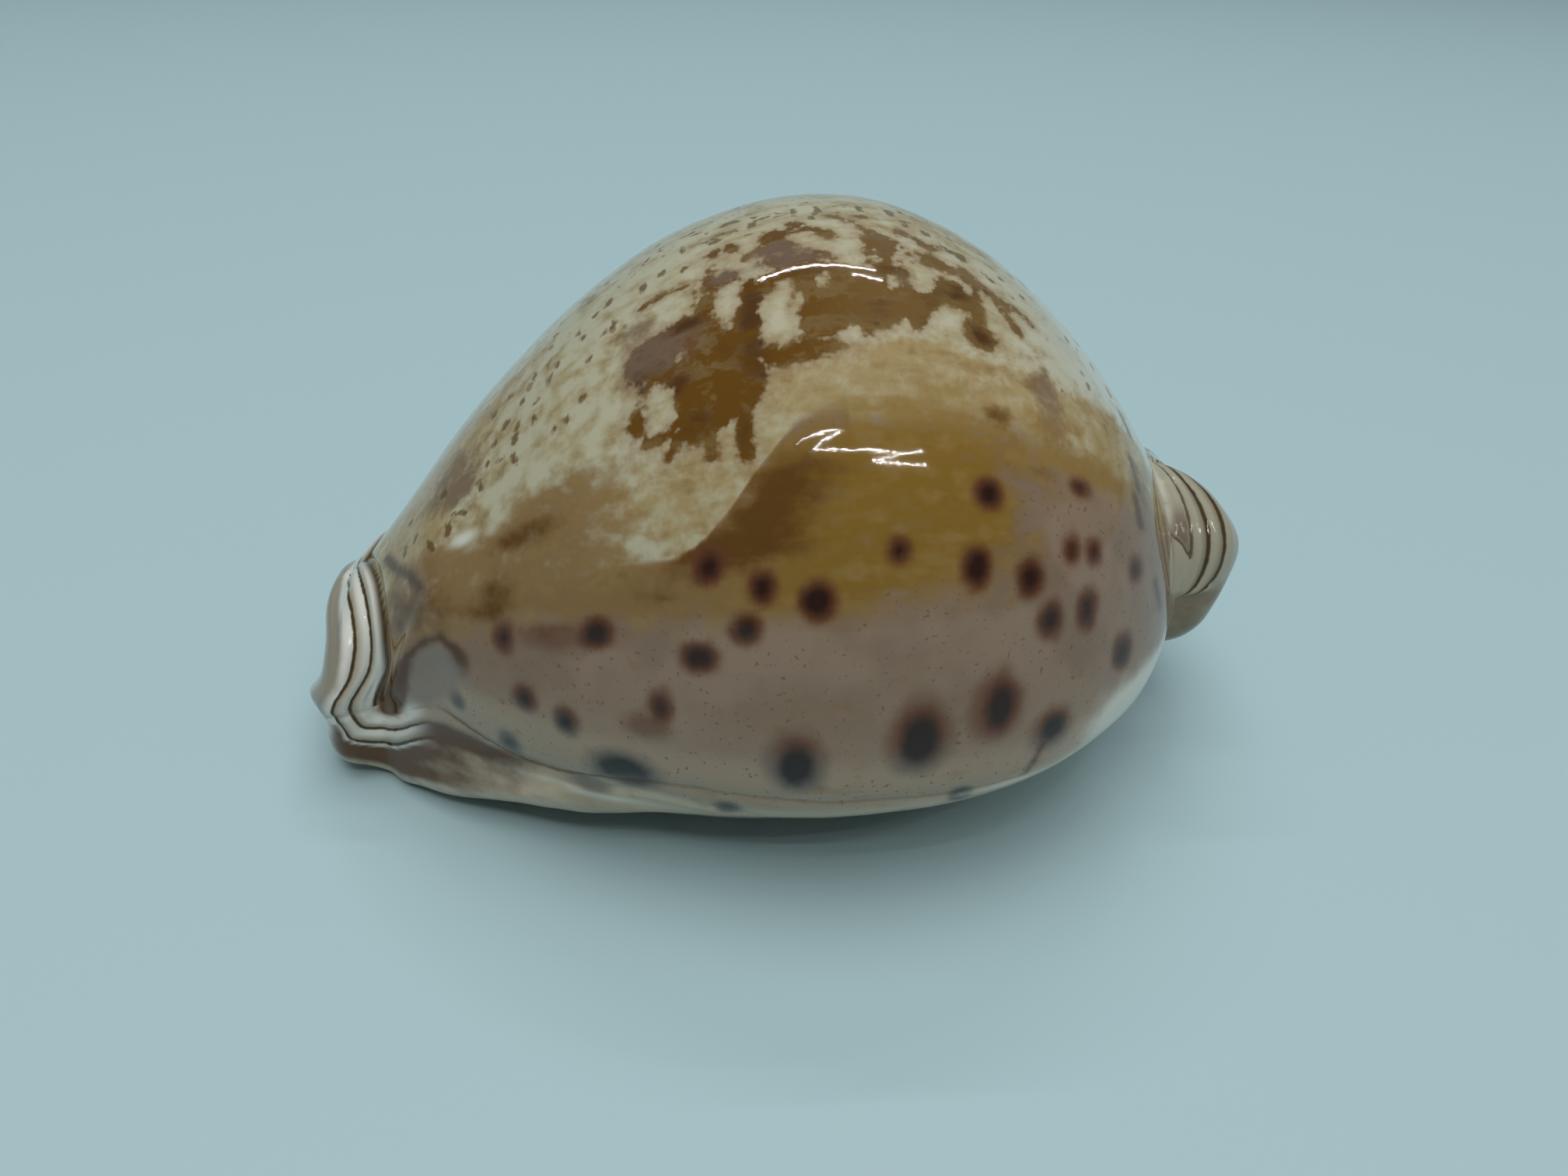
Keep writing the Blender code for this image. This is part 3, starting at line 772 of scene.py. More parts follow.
back_edge_low = 62.0 - 15.0 * ease((x + 8.0) / 10.0) + 3.0 * bump(x, 17.0, 4.0)
back_edge_low = np.where(edge_here > 0.02, coat_edge(x), back_edge_low)
edge_softness = 5.0 + 4.0 * ease((x - 4.0) / 6.0) - 4.4 * edge_here
store("back", (np.where(turn < 0.0, back_edge_low, 50.0) - low) / edge_softness)

# %% [markdown]
# ## Spots of the flanks
# Dark round spots lie deep in the enamel of both flanks and of the base. High up their edges
# are red brown, low down the glaze over them turns them grey. They are ovals again, with a soft
# edge this time, and the large ones have a wide halo.

# %% Fields of the spots
SPOTS_COLUMELLA = [
    (-16.5, -70.8, 0.50, 3.0), (-11.1, -69.9, 0.95, 2.4), (-5.6, -73.6, 0.95, 2.0),
    (-7.75, -81.7, 0.55, 2.6), (-3.2, -70.0, 0.75, 1.8), (-5.0, -61.7, 0.70, 2.0),
    (-15.4, -85.9, 0.55, 3.2), (-13.0, -89.1, 0.60, 3.2), (-19.5, -80.6, 0.50, 3.8),
    (-19.9, -98.0, 0.35, 2.5), (-16.7, -107.4, 0.50, 4.5), (-9.9, -101.9, 1.60, 7.0),
    (-2.3, -65.0, 0.65, 1.8), (0.5, -66.9, 0.90, 2.2), (4.7, -61.7, 0.55, 1.4),
    (8.9, -63.7, 0.75, 2.2), (9.6, -54.7, 0.75, 1.8), (12.0, -65.0, 0.70, 2.2),
    (13.3, -70.6, 0.65, 2.3), (15.7, -69.7, 0.65, 2.6), (14.5, -61.1, 0.45, 1.6),
    (16.1, -61.3, 0.45, 1.6), (15.3, -51.7, 0.55, 1.2), (10.6, -82.4, 1.00, 4.2),
    (6.15, -86.6, 1.20, 5.0), (-0.5, -91.1, 1.10, 5.0), (9.0, -103.9, 0.60, 3.0),
    (-4.1, -109.5, 0.60, 3.0), (14.1, -88.9, 0.90, 3.5), (18.8, -78.7, 0.75, 3.3),
    (19.5, -63.3, 0.50, 2.0), (-1.2, -119.0, 0.9, 3.5), (18.2, -115.0, 0.9, 4.0),
    (20.6, -120.0, 0.8, 4.0), (13.1, -122.0, 1.0, 4.0), (9.8, -127.0, 1.0, 3.5),
    (16.0, -132.0, 1.1, 3.5), (2.0, -135.0, 0.9, 2.5), (5.2, -121.0, 0.9, 3.0),
    (-7.2, -144.0, 0.8, 2.2), (-2.9, -142.0, 0.8, 2.2), (5.2, -144.0, 0.9, 2.5),
    (11.9, -143.0, 0.9, 2.5), (15.6, -147.0, 0.7, 2.2), (20.1, -151.0, 0.7, 2.5),
]
SPOTS_LIP = [
    (-18.4, 76.0, 0.7, 3.0), (-13.6, 69.0, 0.7, 2.4), (-9.8, 75.0, 0.9, 2.6), (-5.2, 68.0, 0.7, 1.8),
    (-2.0, 73.0, 0.7, 2.0), (2.6, 66.0, 0.7, 1.8), (5.9, 71.0, 0.8, 2.2), (9.4, 64.0, 0.7, 1.8),
    (12.6, 69.0, 0.8, 2.2), (16.2, 62.0, 0.6, 2.0), (18.9, 71.0, 0.7, 2.6), (-15.9, 90.0, 0.7, 3.4),
    (-11.2, 94.0, 1.2, 5.0), (-6.1, 88.0, 0.8, 3.4), (-1.0, 91.0, 1.3, 5.0), (4.1, 87.0, 1.0, 4.0),
    (8.6, 92.0, 1.3, 5.0), (13.4, 86.0, 1.1, 4.4), (17.4, 93.0, 0.9, 4.4), (20.4, 84.0, 0.6, 3.2),
    (-18.0, 107.0, 0.7, 3.6), (-12.8, 112.0, 0.9, 4.2), (-7.4, 107.0, 1.0, 4.4),
    (-2.6, 113.0, 0.9, 4.0), (2.2, 108.0, 1.0, 4.4), (7.1, 113.0, 0.9, 4.0),
    (11.7, 108.0, 0.9, 4.0), (16.3, 113.0, 0.8, 4.0), (-10.3, 131.0, 0.9, 3.2),
    (-4.6, 134.0, 0.8, 2.6), (1.0, 130.0, 0.9, 3.0), (6.3, 135.0, 0.8, 2.6),
    (12.2, 130.0, 0.9, 3.2), (17.5, 136.0, 0.8, 3.0),
]
HALOS = [
    (6.1, -86.6, 1.7, 6.5), (-0.5, -91.0, 1.6, 6.0), (10.4, -82.6, 1.4, 5.2),
    (-9.9, -102.0, 2.0, 8.5), (-12.1, -116.7, 1.0, 4.0), (-12.8, -70.6, 1.9, 1.8),
    (-8.5, -85.6, 0.9, 2.0), (14.0, -89.5, 1.2, 4.5), (-17.4, -119.4, 0.9, 1.6),
    (-1.0, 91.0, 1.8, 6.5), (8.6, 92.0, 1.8, 6.5), (-11.2, 94.0, 1.7, 6.5),
]
spots = ovals(SPOTS_COLUMELLA + SPOTS_LIP, 2.1)
store("spots", spots)
store("halos", np.maximum(spots - 0.1, ovals(HALOS, 2.0)))
store("deep", ease((low - 74.0) / 26.0))

# %% [markdown]
# ## Flank, base and ends
# The flank is lilac brown above and pales to beige below. A fine dark line marks the groove
# over the margin, and the base is a warm cream. Both ends have colours of their own. A
# painted brown shadow follows the ridge behind the collar, and under it lie a dimple in grey
# painted shade and a dark neck, painted shade with some brown of its own. Pale paint on a few
# swells and ridges is partly painted highlight and painted reflection. The ears have a brown
# flap and a grey-brown lower part, and the front canal a stain.

# %% Fields of the flank, the base and the ends
# Thin brown strokes along ridges and creases. The two broad ones behind the collar, from -82 to -104.5
# degrees, are a painted shadow of the ridge.
BROWN_AND_SHADOW_STROKES = [
    (-25.0, -28.0, -24.2, -37.0, 0.16), (-24.2, -37.0, -23.4, -43.5, 0.18),
    (-23.4, -43.5, -22.5, -50.0, 0.20), (-22.5, -50.0, -21.9, -55.5, 0.16),
    (-23.4, -82.0, -24.1, -94.0, 0.36), (-24.1, -94.0, -25.4, -104.5, 0.55),
    (-23.3, -80.5, -22.0, -77.2, 0.15), (-22.0, -77.2, -20.6, -74.5, 0.15),
    (-20.6, -74.5, -19.7, -77.0, 0.18), (-19.7, -77.0, -19.4, -80.0, 0.22),
    (13.6, -92.0, 12.9, -101.0, 0.08), (19.9, -49.0, 20.1, -54.0, 0.20),
    (19.9, -39.0, 20.3, -46.0, 0.13), (20.0, -26.0, 20.6, -31.0, 0.13),
    (21.6, -66.0, 22.4, -73.0, 0.13),
    (-23.6, 44.0, -22.4, 58.0, 0.12),
    (-23.9, 84.0, -24.8, 98.0, 0.30), (-23.2, 79.0, -20.6, 74.0, 0.16),
    (-20.6, 74.0, -19.3, 82.0, 0.16),
]
# Dark clouds of the neck, of the foot under the collar and under the base pad: mostly painted shade in
# hollows and under overhangs, with some brown of their own.
NECK_BROWN_AND_SHADE_CLOUDS = [
    (-21.6, -115.5, 3.0, 3.6, 1.1), (-18.5, -117.5, 2.4, 2.2, 0.7), (-24.8, -123.5, 2.4, 3.0, 0.7),
    (-25.1, -98.0, 1.0, 9.0, 1.2), (-24.0, -88.0, 0.7, 7.0, 0.9), (-19.5, -123.5, 3.5, 3.0, 0.55),
    (-27.2, -125.5, 2.6, 6.0, 0.95), (-23.5, -130.0, 4.0, 2.4, 0.7), (-19.0, -128.5, 2.5, 2.0, 0.3),
    (-28.9, -118.0, 0.5, 8.0, 0.6),
    (-22.7, 114.0, 3.0, 6.0, 0.9), (-24.6, 92.0, 0.8, 12.0, 0.9), (-14.0, -112.0, 1.6, 2.0, 0.4),
    (-13.0, -105.5, 1.5, 1.5, 0.3),
]
# Grey painted shade in the dimple behind the collar and in the hollow before each ear.
DIMPLE_SHADE_CLOUDS = [
    (-21.0, -82.0, 1.6, 6.0, 0.8), (-21.6, -90.0, 1.8, 7.0, 0.9), (-22.4, -100.0, 1.6, 6.0, 0.7),
    (-21.6, 88.0, 1.8, 9.0, 0.9), (23.4, -62.0, 0.9, 12.0, 0.35), (22.8, 62.0, 1.4, 16.0, 0.4),
]
# Pale paint: partly pale enamel, partly painted highlight and painted reflection on swells, ridges, the
# margin and the lower flank.
PALE_AND_HIGHLIGHT_CLOUDS = [
    (20.5, -96.0, 3.0, 7.5, 1.5), (-23.6, -104.0, 1.0, 4.5, 0.9), (-12.0, -121.5, 5.0, 1.5, 0.6),
    (-18.9, -45.0, 0.9, 1.8, 0.8), (24.2, -62.0, 0.5, 20.0, 0.6), (25.7, -38.0, 0.4, 4.0, 0.7),
    (13.0, -104.5, 5.0, 1.5, 0.6), (-17.6, -113.0, 1.0, 2.0, 0.6), (-16.8, -51.0, 0.1, 2.0, 0.5),
    (-23.6, 70.0, 0.6, 12.0, 0.5),
]
store("base", ease((low - 103.0 + 0.4 * x) / 9.0))
store("brown_and_shadow_strokes", strokes(BROWN_AND_SHADOW_STROKES))
store("neck", clouds(NECK_BROWN_AND_SHADE_CLOUDS))
store("dimple", clouds(DIMPLE_SHADE_CLOUDS))
store("pale", clouds(PALE_AND_HIGHLIGHT_CLOUDS))
lower_edge = 0.86 * (x - EAR_CREASE) - 0.067 * (low - 50.0)
store("flap", np.where(ear_here > 0.0, np.minimum(0.8 * (1.0 - ear), lower_edge), OUTSIDE))
store("flap_tint", ear_here * ease((low - 28.0) / 22.0))
store("margin", np.clip((low - margin_line(x)) * mm_per_degree, OUTSIDE, -OUTSIDE))
margin_shown = 0.35 + 0.65 * ease((-6.0 - x) / 5.0)
store("margin_here", columella * margin_shown * ease((x + 22.5) / 3.0) * ease((14.0 - x) / 3.0))
store("collar", collar)
store("collar_here", collar_here)
store("past_crease", crease_place - x + 5.0 * ease((low - 102.0) / 5.0))
store("rim_share", rim_share)
store("ear", ear)
store("ear_here", ear_here * ease((94.0 - low) / 10.0))
store("ear_low", ear_here * ease((low - 74.0) / 18.0) * ease((low - 84.0) / 8.0 + 0.5 * (ear - 2.4)))
stain = bump(x, -20.0, 3.2) * ease((turn - 3.0) / 0.1) * ease(step_depth[None, :] / 0.15)
store("canal_stain", stain)
store("inside", np.broadcast_to(ease(step_depth[None, :] / 0.8), x.shape))

# %% [markdown]
# ## Painting with nodes
# The enamel is one Principled shader. Its colour is built up the way the animal builds it, from
# the ground colour outwards, one layer painted over the last. A few one-line helpers keep that
# readable: a field is read with an Attribute node, noise is read on Object coordinates turned
# into millimetres, a Map Range cuts a field to a mask, and a Mix lays a colour over another.

# %% Helpers for the node tree
enamel = bpy.data.materials.new("shell_enamel")
enamel.use_nodes = True
tree = enamel.node_tree
shader = tree.nodes["Principled BSDF"]
coordinates = tree.nodes.new("ShaderNodeTexCoord")


def connect(value, socket):
    """Link an output to a socket, or set the socket if the value is a plain number or colour."""
    if isinstance(value, bpy.types.NodeSocket):
        tree.links.new(value, socket)
    else:
        socket.default_value = value


def field(name):
    """A field of the mesh."""
    node = tree.nodes.new("ShaderNodeAttribute")
    node.attribute_name = name
    return node.outputs["Fac"]


def millimetres(stretch=(1.0, 1.0, 1.0), turn_z=0.0):
    """Object coordinates in millimetres, turned about Z and stretched for streaky patterns."""
    node = tree.nodes.new("ShaderNodeMapping")
    node.vector_type = "POINT"
    node.inputs["Rotation"].default_value = (0.0, 0.0, turn_z)
    node.inputs["Scale"].default_value = [factor / MM for factor in stretch]
    tree.links.new(coordinates.outputs["Object"], node.inputs["Vector"])
    return node.outputs["Vector"]


def noise(size, detail=2.0, vector=None, roughness=0.5, distortion=0.0):
    """Noise with features of about this size in millimetres, shifted to lie about zero."""
    node = tree.nodes.new("ShaderNodeTexNoise")
    node.inputs["Scale"].default_value = 1.0 / size
    node.inputs["Detail"].default_value = detail
    node.inputs["Roughness"].default_value = roughness
    node.inputs["Distortion"].default_value = distortion
    tree.links.new(vector or millimetres(), node.inputs["Vector"])
    return sum_up(node.outputs["Fac"], -0.5)


def sum_up(*operands, kind="ADD"):
    """Operands taken together, two at a time."""
    total = operands[0]
    for operand in operands[1:]:
        node = tree.nodes.new("ShaderNodeMath")
        node.operation = kind
        connect(total, node.inputs[0])
        connect(operand, node.inputs[1])
        total = node.outputs[0]
    return total


def times(*operands):
    """Product of the operands."""
    return sum_up(*operands, kind="MULTIPLY")


def cut(value, low_end, high_end, low_value=0.0, high_value=1.0):
    """A smooth mask: the low value below the low end, the high value above the high end."""
    node = tree.nodes.new("ShaderNodeMapRange")
    node.interpolation_type = "SMOOTHSTEP"
    connect(value, node.inputs["Value"])
    node.inputs["From Min"].default_value = low_end
    node.inputs["From Max"].default_value = high_end
    node.inputs["To Min"].default_value = low_value
    node.inputs["To Max"].default_value = high_value
    return node.outputs["Result"]


def paint(under, colour, amount):
    """Lay a colour over another, by an amount from 0 to 1."""
    node = tree.nodes.new("ShaderNodeMix")
    node.data_type = "RGBA"
    node.clamp_factor = True
    connect(amount, node.inputs[0])
    for value, socket in ((under, node.inputs[6]), (colour, node.inputs[7])):
        connect(value if isinstance(value, bpy.types.NodeSocket) else (*value, 1.0), socket)
    return node.outputs[2]


fine = noise(0.45, 2.0)
medium = noise(1.5, 3.0)
broad = noise(5.0, 2.0)
streaks = noise(1.0, 4.0, millimetres((0.22, 1.0, 1.0), 0.15))
ragged = sum_up(times(medium, 0.85), times(fine, 0.75))
soft_mottle = sum_up(times(medium, 0.9), times(streaks, 0.6))
print("helpers ready,", len(tree.nodes), "nodes so far")

# %% [markdown]
# ## The flank and the base
# The flank is lilac brown, warm and dark just under the gold, and paler and greyer further
# down. Tiny brown flecks are strewn in it. Towards the base it goes beige, and past the groove
# it is the warm cream of the base.

# %% Lilac, beige and cream
LILAC = (0.205, 0.140, 0.092)
WARM_LILAC = (0.250, 0.176, 0.120)
PALE_LILAC = (0.280, 0.208, 0.148)
BEIGE = (0.345, 0.268, 0.187)
FLECK = (0.11, 0.06, 0.035)
BASE_CREAM = (0.52, 0.435, 0.315)
BASE_GREY = (0.38, 0.30, 0.205)

flank = paint(LILAC, WARM_LILAC, cut(broad, -0.10, 0.12))
flank = paint(flank, PALE_LILAC, sum_up(field("deep"), times(soft_mottle, 0.6)))
colour = paint(flank, BEIGE, times(cut(field("deep"), 0.55, 1.0), 0.85))
fleck_cells = noise(0.30, 1.0)
colour = paint(colour, FLECK, times(cut(fleck_cells, 0.16, 0.24), 0.6))
base_tone = paint(BASE_CREAM, BASE_GREY, cut(sum_up(broad, times(streaks, 0.5)), -0.12, 0.20, 0.0, 0.8))
colour = paint(colour, base_tone, field("base"))
print("flank and base laid,", len(tree.nodes), "nodes")

# %% [markdown]
# ## The back
# The cream of the back goes tan in clouds and long streaks, and greyish white towards the back
# spout. The blotch is cut from its field with noise added. A tan fringe surrounds it, and the
# brown inside is streaked along the shell.

# %% Cream, blotch and its tones
CREAM = (0.44, 0.42, 0.295)
CREAM_SHADE = (0.365, 0.325, 0.19)
TAN = (0.345, 0.262, 0.120)
TAN_SHADE = (0.27, 0.18, 0.075)
PALE_GREY = (0.53, 0.565, 0.50)
BLOTCH_BROWN = (0.118, 0.053, 0.004)
BLOTCH_LIGHT = (0.190, 0.125, 0.046)
BLOTCH_DARK = (0.062, 0.022, 0.004)
PURPLE = (0.155, 0.106, 0.073)
HAZE = (0.30, 0.215, 0.12)

cream = paint(CREAM, CREAM_SHADE, cut(soft_mottle, -0.12, 0.18))
along = tree.nodes.new("ShaderNodeSeparateXYZ")
tree.links.new(millimetres(), along.inputs[0])
grey_from = sum_up(along.outputs["X"], times(medium, 7.0), times(fine, 5.0), times(broad, 8.0))
cream = paint(cream, PALE_GREY, cut(grey_from, 9.5, 19.0, 0.0, 0.9))
tan_tone = paint(TAN, TAN_SHADE, cut(sum_up(times(streaks, 0.8), times(fine, 0.6)), -0.08, 0.16, 0.0, 0.5))
tan_amount = sum_up(field("tan"), times(streaks, 0.9), times(medium, 1.3), times(fine, 0.8))
cream = paint(cream, tan_tone, cut(tan_amount, 0.05, 1.0, 0.0, 0.95))
purple_amount = sum_up(field("purple"), times(soft_mottle, 1.2), times(fine, 0.5))
cream = paint(cream, PURPLE, cut(purple_amount, 0.15, 0.95, 0.0, 0.8))
on_back = cut(sum_up(field("back"), times(soft_mottle, 1.6)), -0.5, 0.5)
colour = paint(colour, cream, on_back)
print("cream laid,", len(tree.nodes), "nodes")

# %% [markdown]
# The golden wash lies over both the cream and the lilac. It is streaked along the shell, and
# darkest just under the edge of the flank's coat.

# %% Gold
GOLD = (0.208, 0.116, 0.013)
GOLD_DULL = (0.222, 0.136, 0.052)
GOLD_LIGHT = (0.285, 0.190, 0.068)
GOLD_DARK = (0.090, 0.034, 0.002)

gold_tone = paint(GOLD_DULL, GOLD, cut(along.outputs["X"], -8.0, 1.0))
light_gold = sum_up(times(streaks, 0.8), times(medium, 0.6))
gold_tone = paint(gold_tone, GOLD_LIGHT, cut(light_gold, -0.06, 0.20, 0.0, 0.6))
dark_amount = sum_up(field("dark_gold"), times(streaks, 1.2), times(medium, 1.0), times(fine, 0.3))
gold_amount = sum_up(field("gold"), times(streaks, 1.1), times(medium, 1.1))
colour = paint(colour, gold_tone, cut(gold_amount, 0.05, 0.95, 0.0, 0.96))
colour = paint(colour, GOLD_DARK, cut(dark_amount, 0.10, 1.10, 0.0, 0.9))
print("gold laid,", len(tree.nodes), "nodes")

# %% [markdown]
# The blotch comes next, from the outside in: a tan haze round it, then its browns, cut from
# the field with ragged noise added so that its edge stays sharp but uneven.

# %% Blotch
blotch_edge = sum_up(field("blotch"), ragged)
light_part = sum_up(times(streaks, 1.3), times(medium, 0.9), times(fine, 0.6))
blotch_tone = paint(BLOTCH_BROWN, BLOTCH_LIGHT, cut(light_part, -0.06, 0.24, 0.0, 0.8))
blotch_tone = paint(blotch_tone, BLOTCH_LIGHT, cut(along.outputs["X"], -1.5, 4.0, 0.0, 0.45))
blotch_tone = paint(blotch_tone, PURPLE, cut(purple_amount, 0.20, 0.90, 0.0, 0.85))
dark_part = sum_up(field("blotch_dark"), times(streaks, 1.8), times(medium, 1.0), times(fine, 0.5))
blotch_tone = paint(blotch_tone, BLOTCH_DARK, cut(dark_part, 0.10, 0.90, 0.0, 0.9))
colour = paint(colour, HAZE, cut(blotch_edge, -0.70, 0.05, 0.0, 0.55))
colour = paint(colour, blotch_tone, cut(blotch_edge, -0.12, 0.20))
print("blotch laid,", len(tree.nodes), "nodes")

# %% [markdown]
# ## Dots and strokes
# The marks with a place of their own are cut like the blotch. The rest are the cells of a
# Voronoi texture in the dotted zone, and a net in the zone along the top: two noises laid over
# each other, one for brown strokes and one for the tan haze that joins them.

# %% Small marks
MARK_BROWN = (0.120, 0.064, 0.018)
MARK_FAINT = (0.235, 0.165, 0.075)


def dot_mask(size, thickness):
    """Dots about this far apart in millimetres; thickness is the field that says how many."""
    node = tree.nodes.new("ShaderNodeTexVoronoi")
    node.inputs["Scale"].default_value = 1.0 / size
    tree.links.new(millimetres((1.2, 0.75, 1.0), 0.3), node.inputs["Vector"])
    channels = tree.nodes.new("ShaderNodeSeparateColor")
    tree.links.new(node.outputs["Color"], channels.inputs[0])
    radius = times(cut(channels.outputs[0], 0.25, 1.0, 0.0, 0.34), thickness)
    reach = sum_up(radius, times(node.outputs["Distance"], -1.0), times(fine, 0.25))
    return cut(reach, -0.03, 0.09)


own_marks = cut(sum_up(field("marks"), times(fine, 0.35), times(medium, 0.15)), -0.07, 0.08)
colour = paint(colour, MARK_FAINT, times(dot_mask(1.05, field("dots_here")), 0.85))
net = noise(0.80, 2.0, millimetres((0.75, 1.3, 1.0), 0.5), 0.55, 0.6)
net_lack = sum_up(field("net_here"), -1.0)
haze_level = sum_up(times(net, 0.7), times(medium, 0.5), times(net_lack, 0.28))
colour = paint(colour, MARK_FAINT, cut(haze_level, 0.02, 0.13, 0.0, 0.5))
colour = paint(colour, MARK_BROWN, cut(sum_up(net, times(net_lack, 0.25)), 0.095, 0.135, 0.0, 0.85))
colour = paint(colour, MARK_BROWN, times(own_marks, 0.85))
print("marks laid,", len(tree.nodes), "nodes")

# %% [markdown]
# ## Spots
# A spot is painted three times: a wide soft halo, a red-brown disc strong only high on the
# flank, and then the dark core, which turns grey under the thicker glaze lower down.

# %% Halo, disc and core
HALO_HIGH = (0.115, 0.040, 0.016)
HALO_LOW = (0.125, 0.115, 0.095)
CORE_HIGH = (0.018, 0.004, 0.002)
CORE_LOW = (0.014, 0.013, 0.012)

halo_tone = paint(HALO_HIGH, HALO_LOW, cut(sum_up(field("deep"), times(medium, 0.6)), 0.35, 1.0))
core_tone = paint(CORE_HIGH, CORE_LOW, field("deep"))
spot_edge = sum_up(field("spots"), times(medium, 0.5), times(fine, 0.15))
halo_edge = sum_up(field("halos"), times(medium, 0.8))
colour = paint(colour, halo_tone, cut(halo_edge, -0.75, 0.35, 0.0, 0.72))
colour = paint(colour, halo_tone, cut(spot_edge, -0.45, 0.15, 0.0, 0.85))
colour = paint(colour, core_tone, cut(spot_edge, -0.20, 0.55, 0.0, 0.96))
print("spots laid,", len(tree.nodes), "nodes")

# %% [markdown]
# ## The neck and the margin
# The neck behind the collar is painted dark in the hollows, painted shade with some brown of its
# own, and pale paint on its swells is partly painted highlight. Thin brown strokes follow its
# ridges, and the broad one behind the collar is a painted shadow. The dark line of the margin has
# its own field.

# %% Neck, dimple and strokes
DIMPLE_SHADE_GREY = (0.205, 0.165, 0.128)
NECK_BROWN_AND_SHADE = (0.072, 0.027, 0.004)
STROKE_BROWN_AND_SHADOW = (0.075, 0.030, 0.008)
PALE_AND_HIGHLIGHT = (0.68, 0.70, 0.62)

# Pale paint, partly painted highlight and painted reflection.
colour = paint(colour, PALE_AND_HIGHLIGHT, cut(sum_up(field("pale"), times(medium, 0.4)), 0.1, 0.9, 0.0, 0.8))
# Grey painted shade in the dimple and the hollows before the ears.
colour = paint(colour, DIMPLE_SHADE_GREY, cut(sum_up(field("dimple"), times(medium, 0.5)), 0.15, 0.85, 0.0, 0.85))
# The neck's clouds: painted shade in the hollows, with some brown of its own.
colour = paint(colour, NECK_BROWN_AND_SHADE, cut(sum_up(field("neck"), times(soft_mottle, 0.5)), 0.10, 0.90, 0.0, 0.94))
stroke_edge = sum_up(field("brown_and_shadow_strokes"), times(medium, 0.35), times(fine, 0.2))
# A soft painted shadow round the strokes, then the strokes, partly brown and partly painted shadow.
colour = paint(colour, NECK_BROWN_AND_SHADE, cut(stroke_edge, -0.5, 0.1, 0.0, 0.6))
colour = paint(colour, STROKE_BROWN_AND_SHADOW, cut(stroke_edge, -0.16, 0.16, 0.0, 0.9))
margin_edge = sum_up(field("margin"), times(medium, 0.5), times(fine, 0.2))
margin_line_mask = times(cut(margin_edge, -0.25, -0.03), cut(margin_edge, 0.32, 0.05), field("margin_here"))
colour = paint(colour, NECK_BROWN_AND_SHADE, times(margin_line_mask, 0.8))
print("neck laid,", len(tree.nodes), "nodes")

# %% [markdown]
# ## The striped ends
# A dark line lies at band numbers one and two of the collar and at the crease, and towards it
# the band turns tan on one side, partly its own tan and partly a painted shade on that flank of
# the rib. A fractional part and two Map Ranges give both. The ears are done in the same way from
# their own number, with a painted shade of their own.

# %% Collar and ears
WHITE_BAND = (0.59, 0.60, 0.54)
BAND_TAN_AND_SHADE = (0.27, 0.215, 0.12)
BAND_LINE = (0.050, 0.034, 0.012)
RIM_GREY = (0.165, 0.140, 0.095)
EAR_BEIGE = (0.33, 0.31, 0.235)
EAR_GREY = (0.175, 0.135, 0.088)
FLAP_BROWN = (0.115, 0.078, 0.050)
EAR_SHADE = (0.165, 0.135, 0.088)
CANAL_STAIN = (0.20, 0.055, 0.015)
INSIDE_GREY = (0.30, 0.27, 0.24)


def band_place(number):
    """How far into its band a point lies, from 0 to 1."""
    node = tree.nodes.new("ShaderNodeMath")
    node.operation = "FRACT"
    connect(number, node.inputs[0])
    return node.outputs[0]


def banded(number, light, shade, first_line, last_line, line_width):
    """Bands with a shaded side and a dark line at each whole number from the first to the last."""
    place_in_band = band_place(sum_up(number, 10.0))
    from_first = cut(number, first_line - 0.6, first_line - 0.4)
    lined = times(from_first, cut(number, last_line + 0.35, last_line + 0.2))
    # The tan side of each band is partly tan and partly a painted shade on that flank of the rib.
    tone = paint(light, shade, times(cut(place_in_band, 0.30, 0.95, 0.0, 0.85), lined))
    after = cut(place_in_band, line_width, 0.3 * line_width)
    before = cut(place_in_band, 1.0 - 1.2 * line_width, 1.0 - 0.4 * line_width)
    return paint(tone, BAND_LINE, times(sum_up(after, before), lined))


collar_number = sum_up(field("collar"), times(fine, 0.10), times(medium, 0.06))
collar_tone = banded(collar_number, WHITE_BAND, BAND_TAN_AND_SHADE, 1.0, 2.0, 0.15)
rim_tone_edge = sum_up(field("rim_share"), times(medium, 0.12))
collar_tone = paint(collar_tone, RIM_GREY, times(cut(rim_tone_edge, 0.54, 0.70), 0.8))
collar_tone = paint(collar_tone, WHITE_BAND, cut(field("rim_share"), 0.84, 0.96, 0.0, 0.45))
crease_line = cut(field("past_crease"), 0.45, 0.12)
collar_tone = paint(collar_tone, BAND_LINE, crease_line)
colour = paint(colour, collar_tone, field("collar_here"))
ear_number = sum_up(field("ear"), times(fine, 0.10), times(medium, 0.08))
ear_tone = banded(ear_number, EAR_BEIGE, EAR_SHADE, 2.0, 3.0, 0.19)
flap_edge = sum_up(field("flap"), times(fine, 0.12))
flap_amount = times(cut(flap_edge, -0.05, 0.25), field("flap_tint"))
ear_tone = paint(ear_tone, FLAP_BROWN, times(flap_amount, cut(medium, -0.25, 0.2, 0.95, 0.7)))
flap_line = times(cut(flap_edge, -0.14, -0.02), cut(flap_edge, 0.14, 0.02))
ear_tone = paint(ear_tone, BAND_LINE, times(flap_line, 0.85))
colour = paint(colour, ear_tone, field("ear_here"))
colour = paint(colour, EAR_GREY, times(field("ear_low"), cut(medium, -0.2, 0.2, 0.95, 0.75)))
stain_edge = sum_up(field("canal_stain"), times(medium, 0.5))
colour = paint(colour, CANAL_STAIN, cut(stain_edge, 0.40, 0.50))
colour = paint(colour, INSIDE_GREY, times(field("inside"), 0.8))
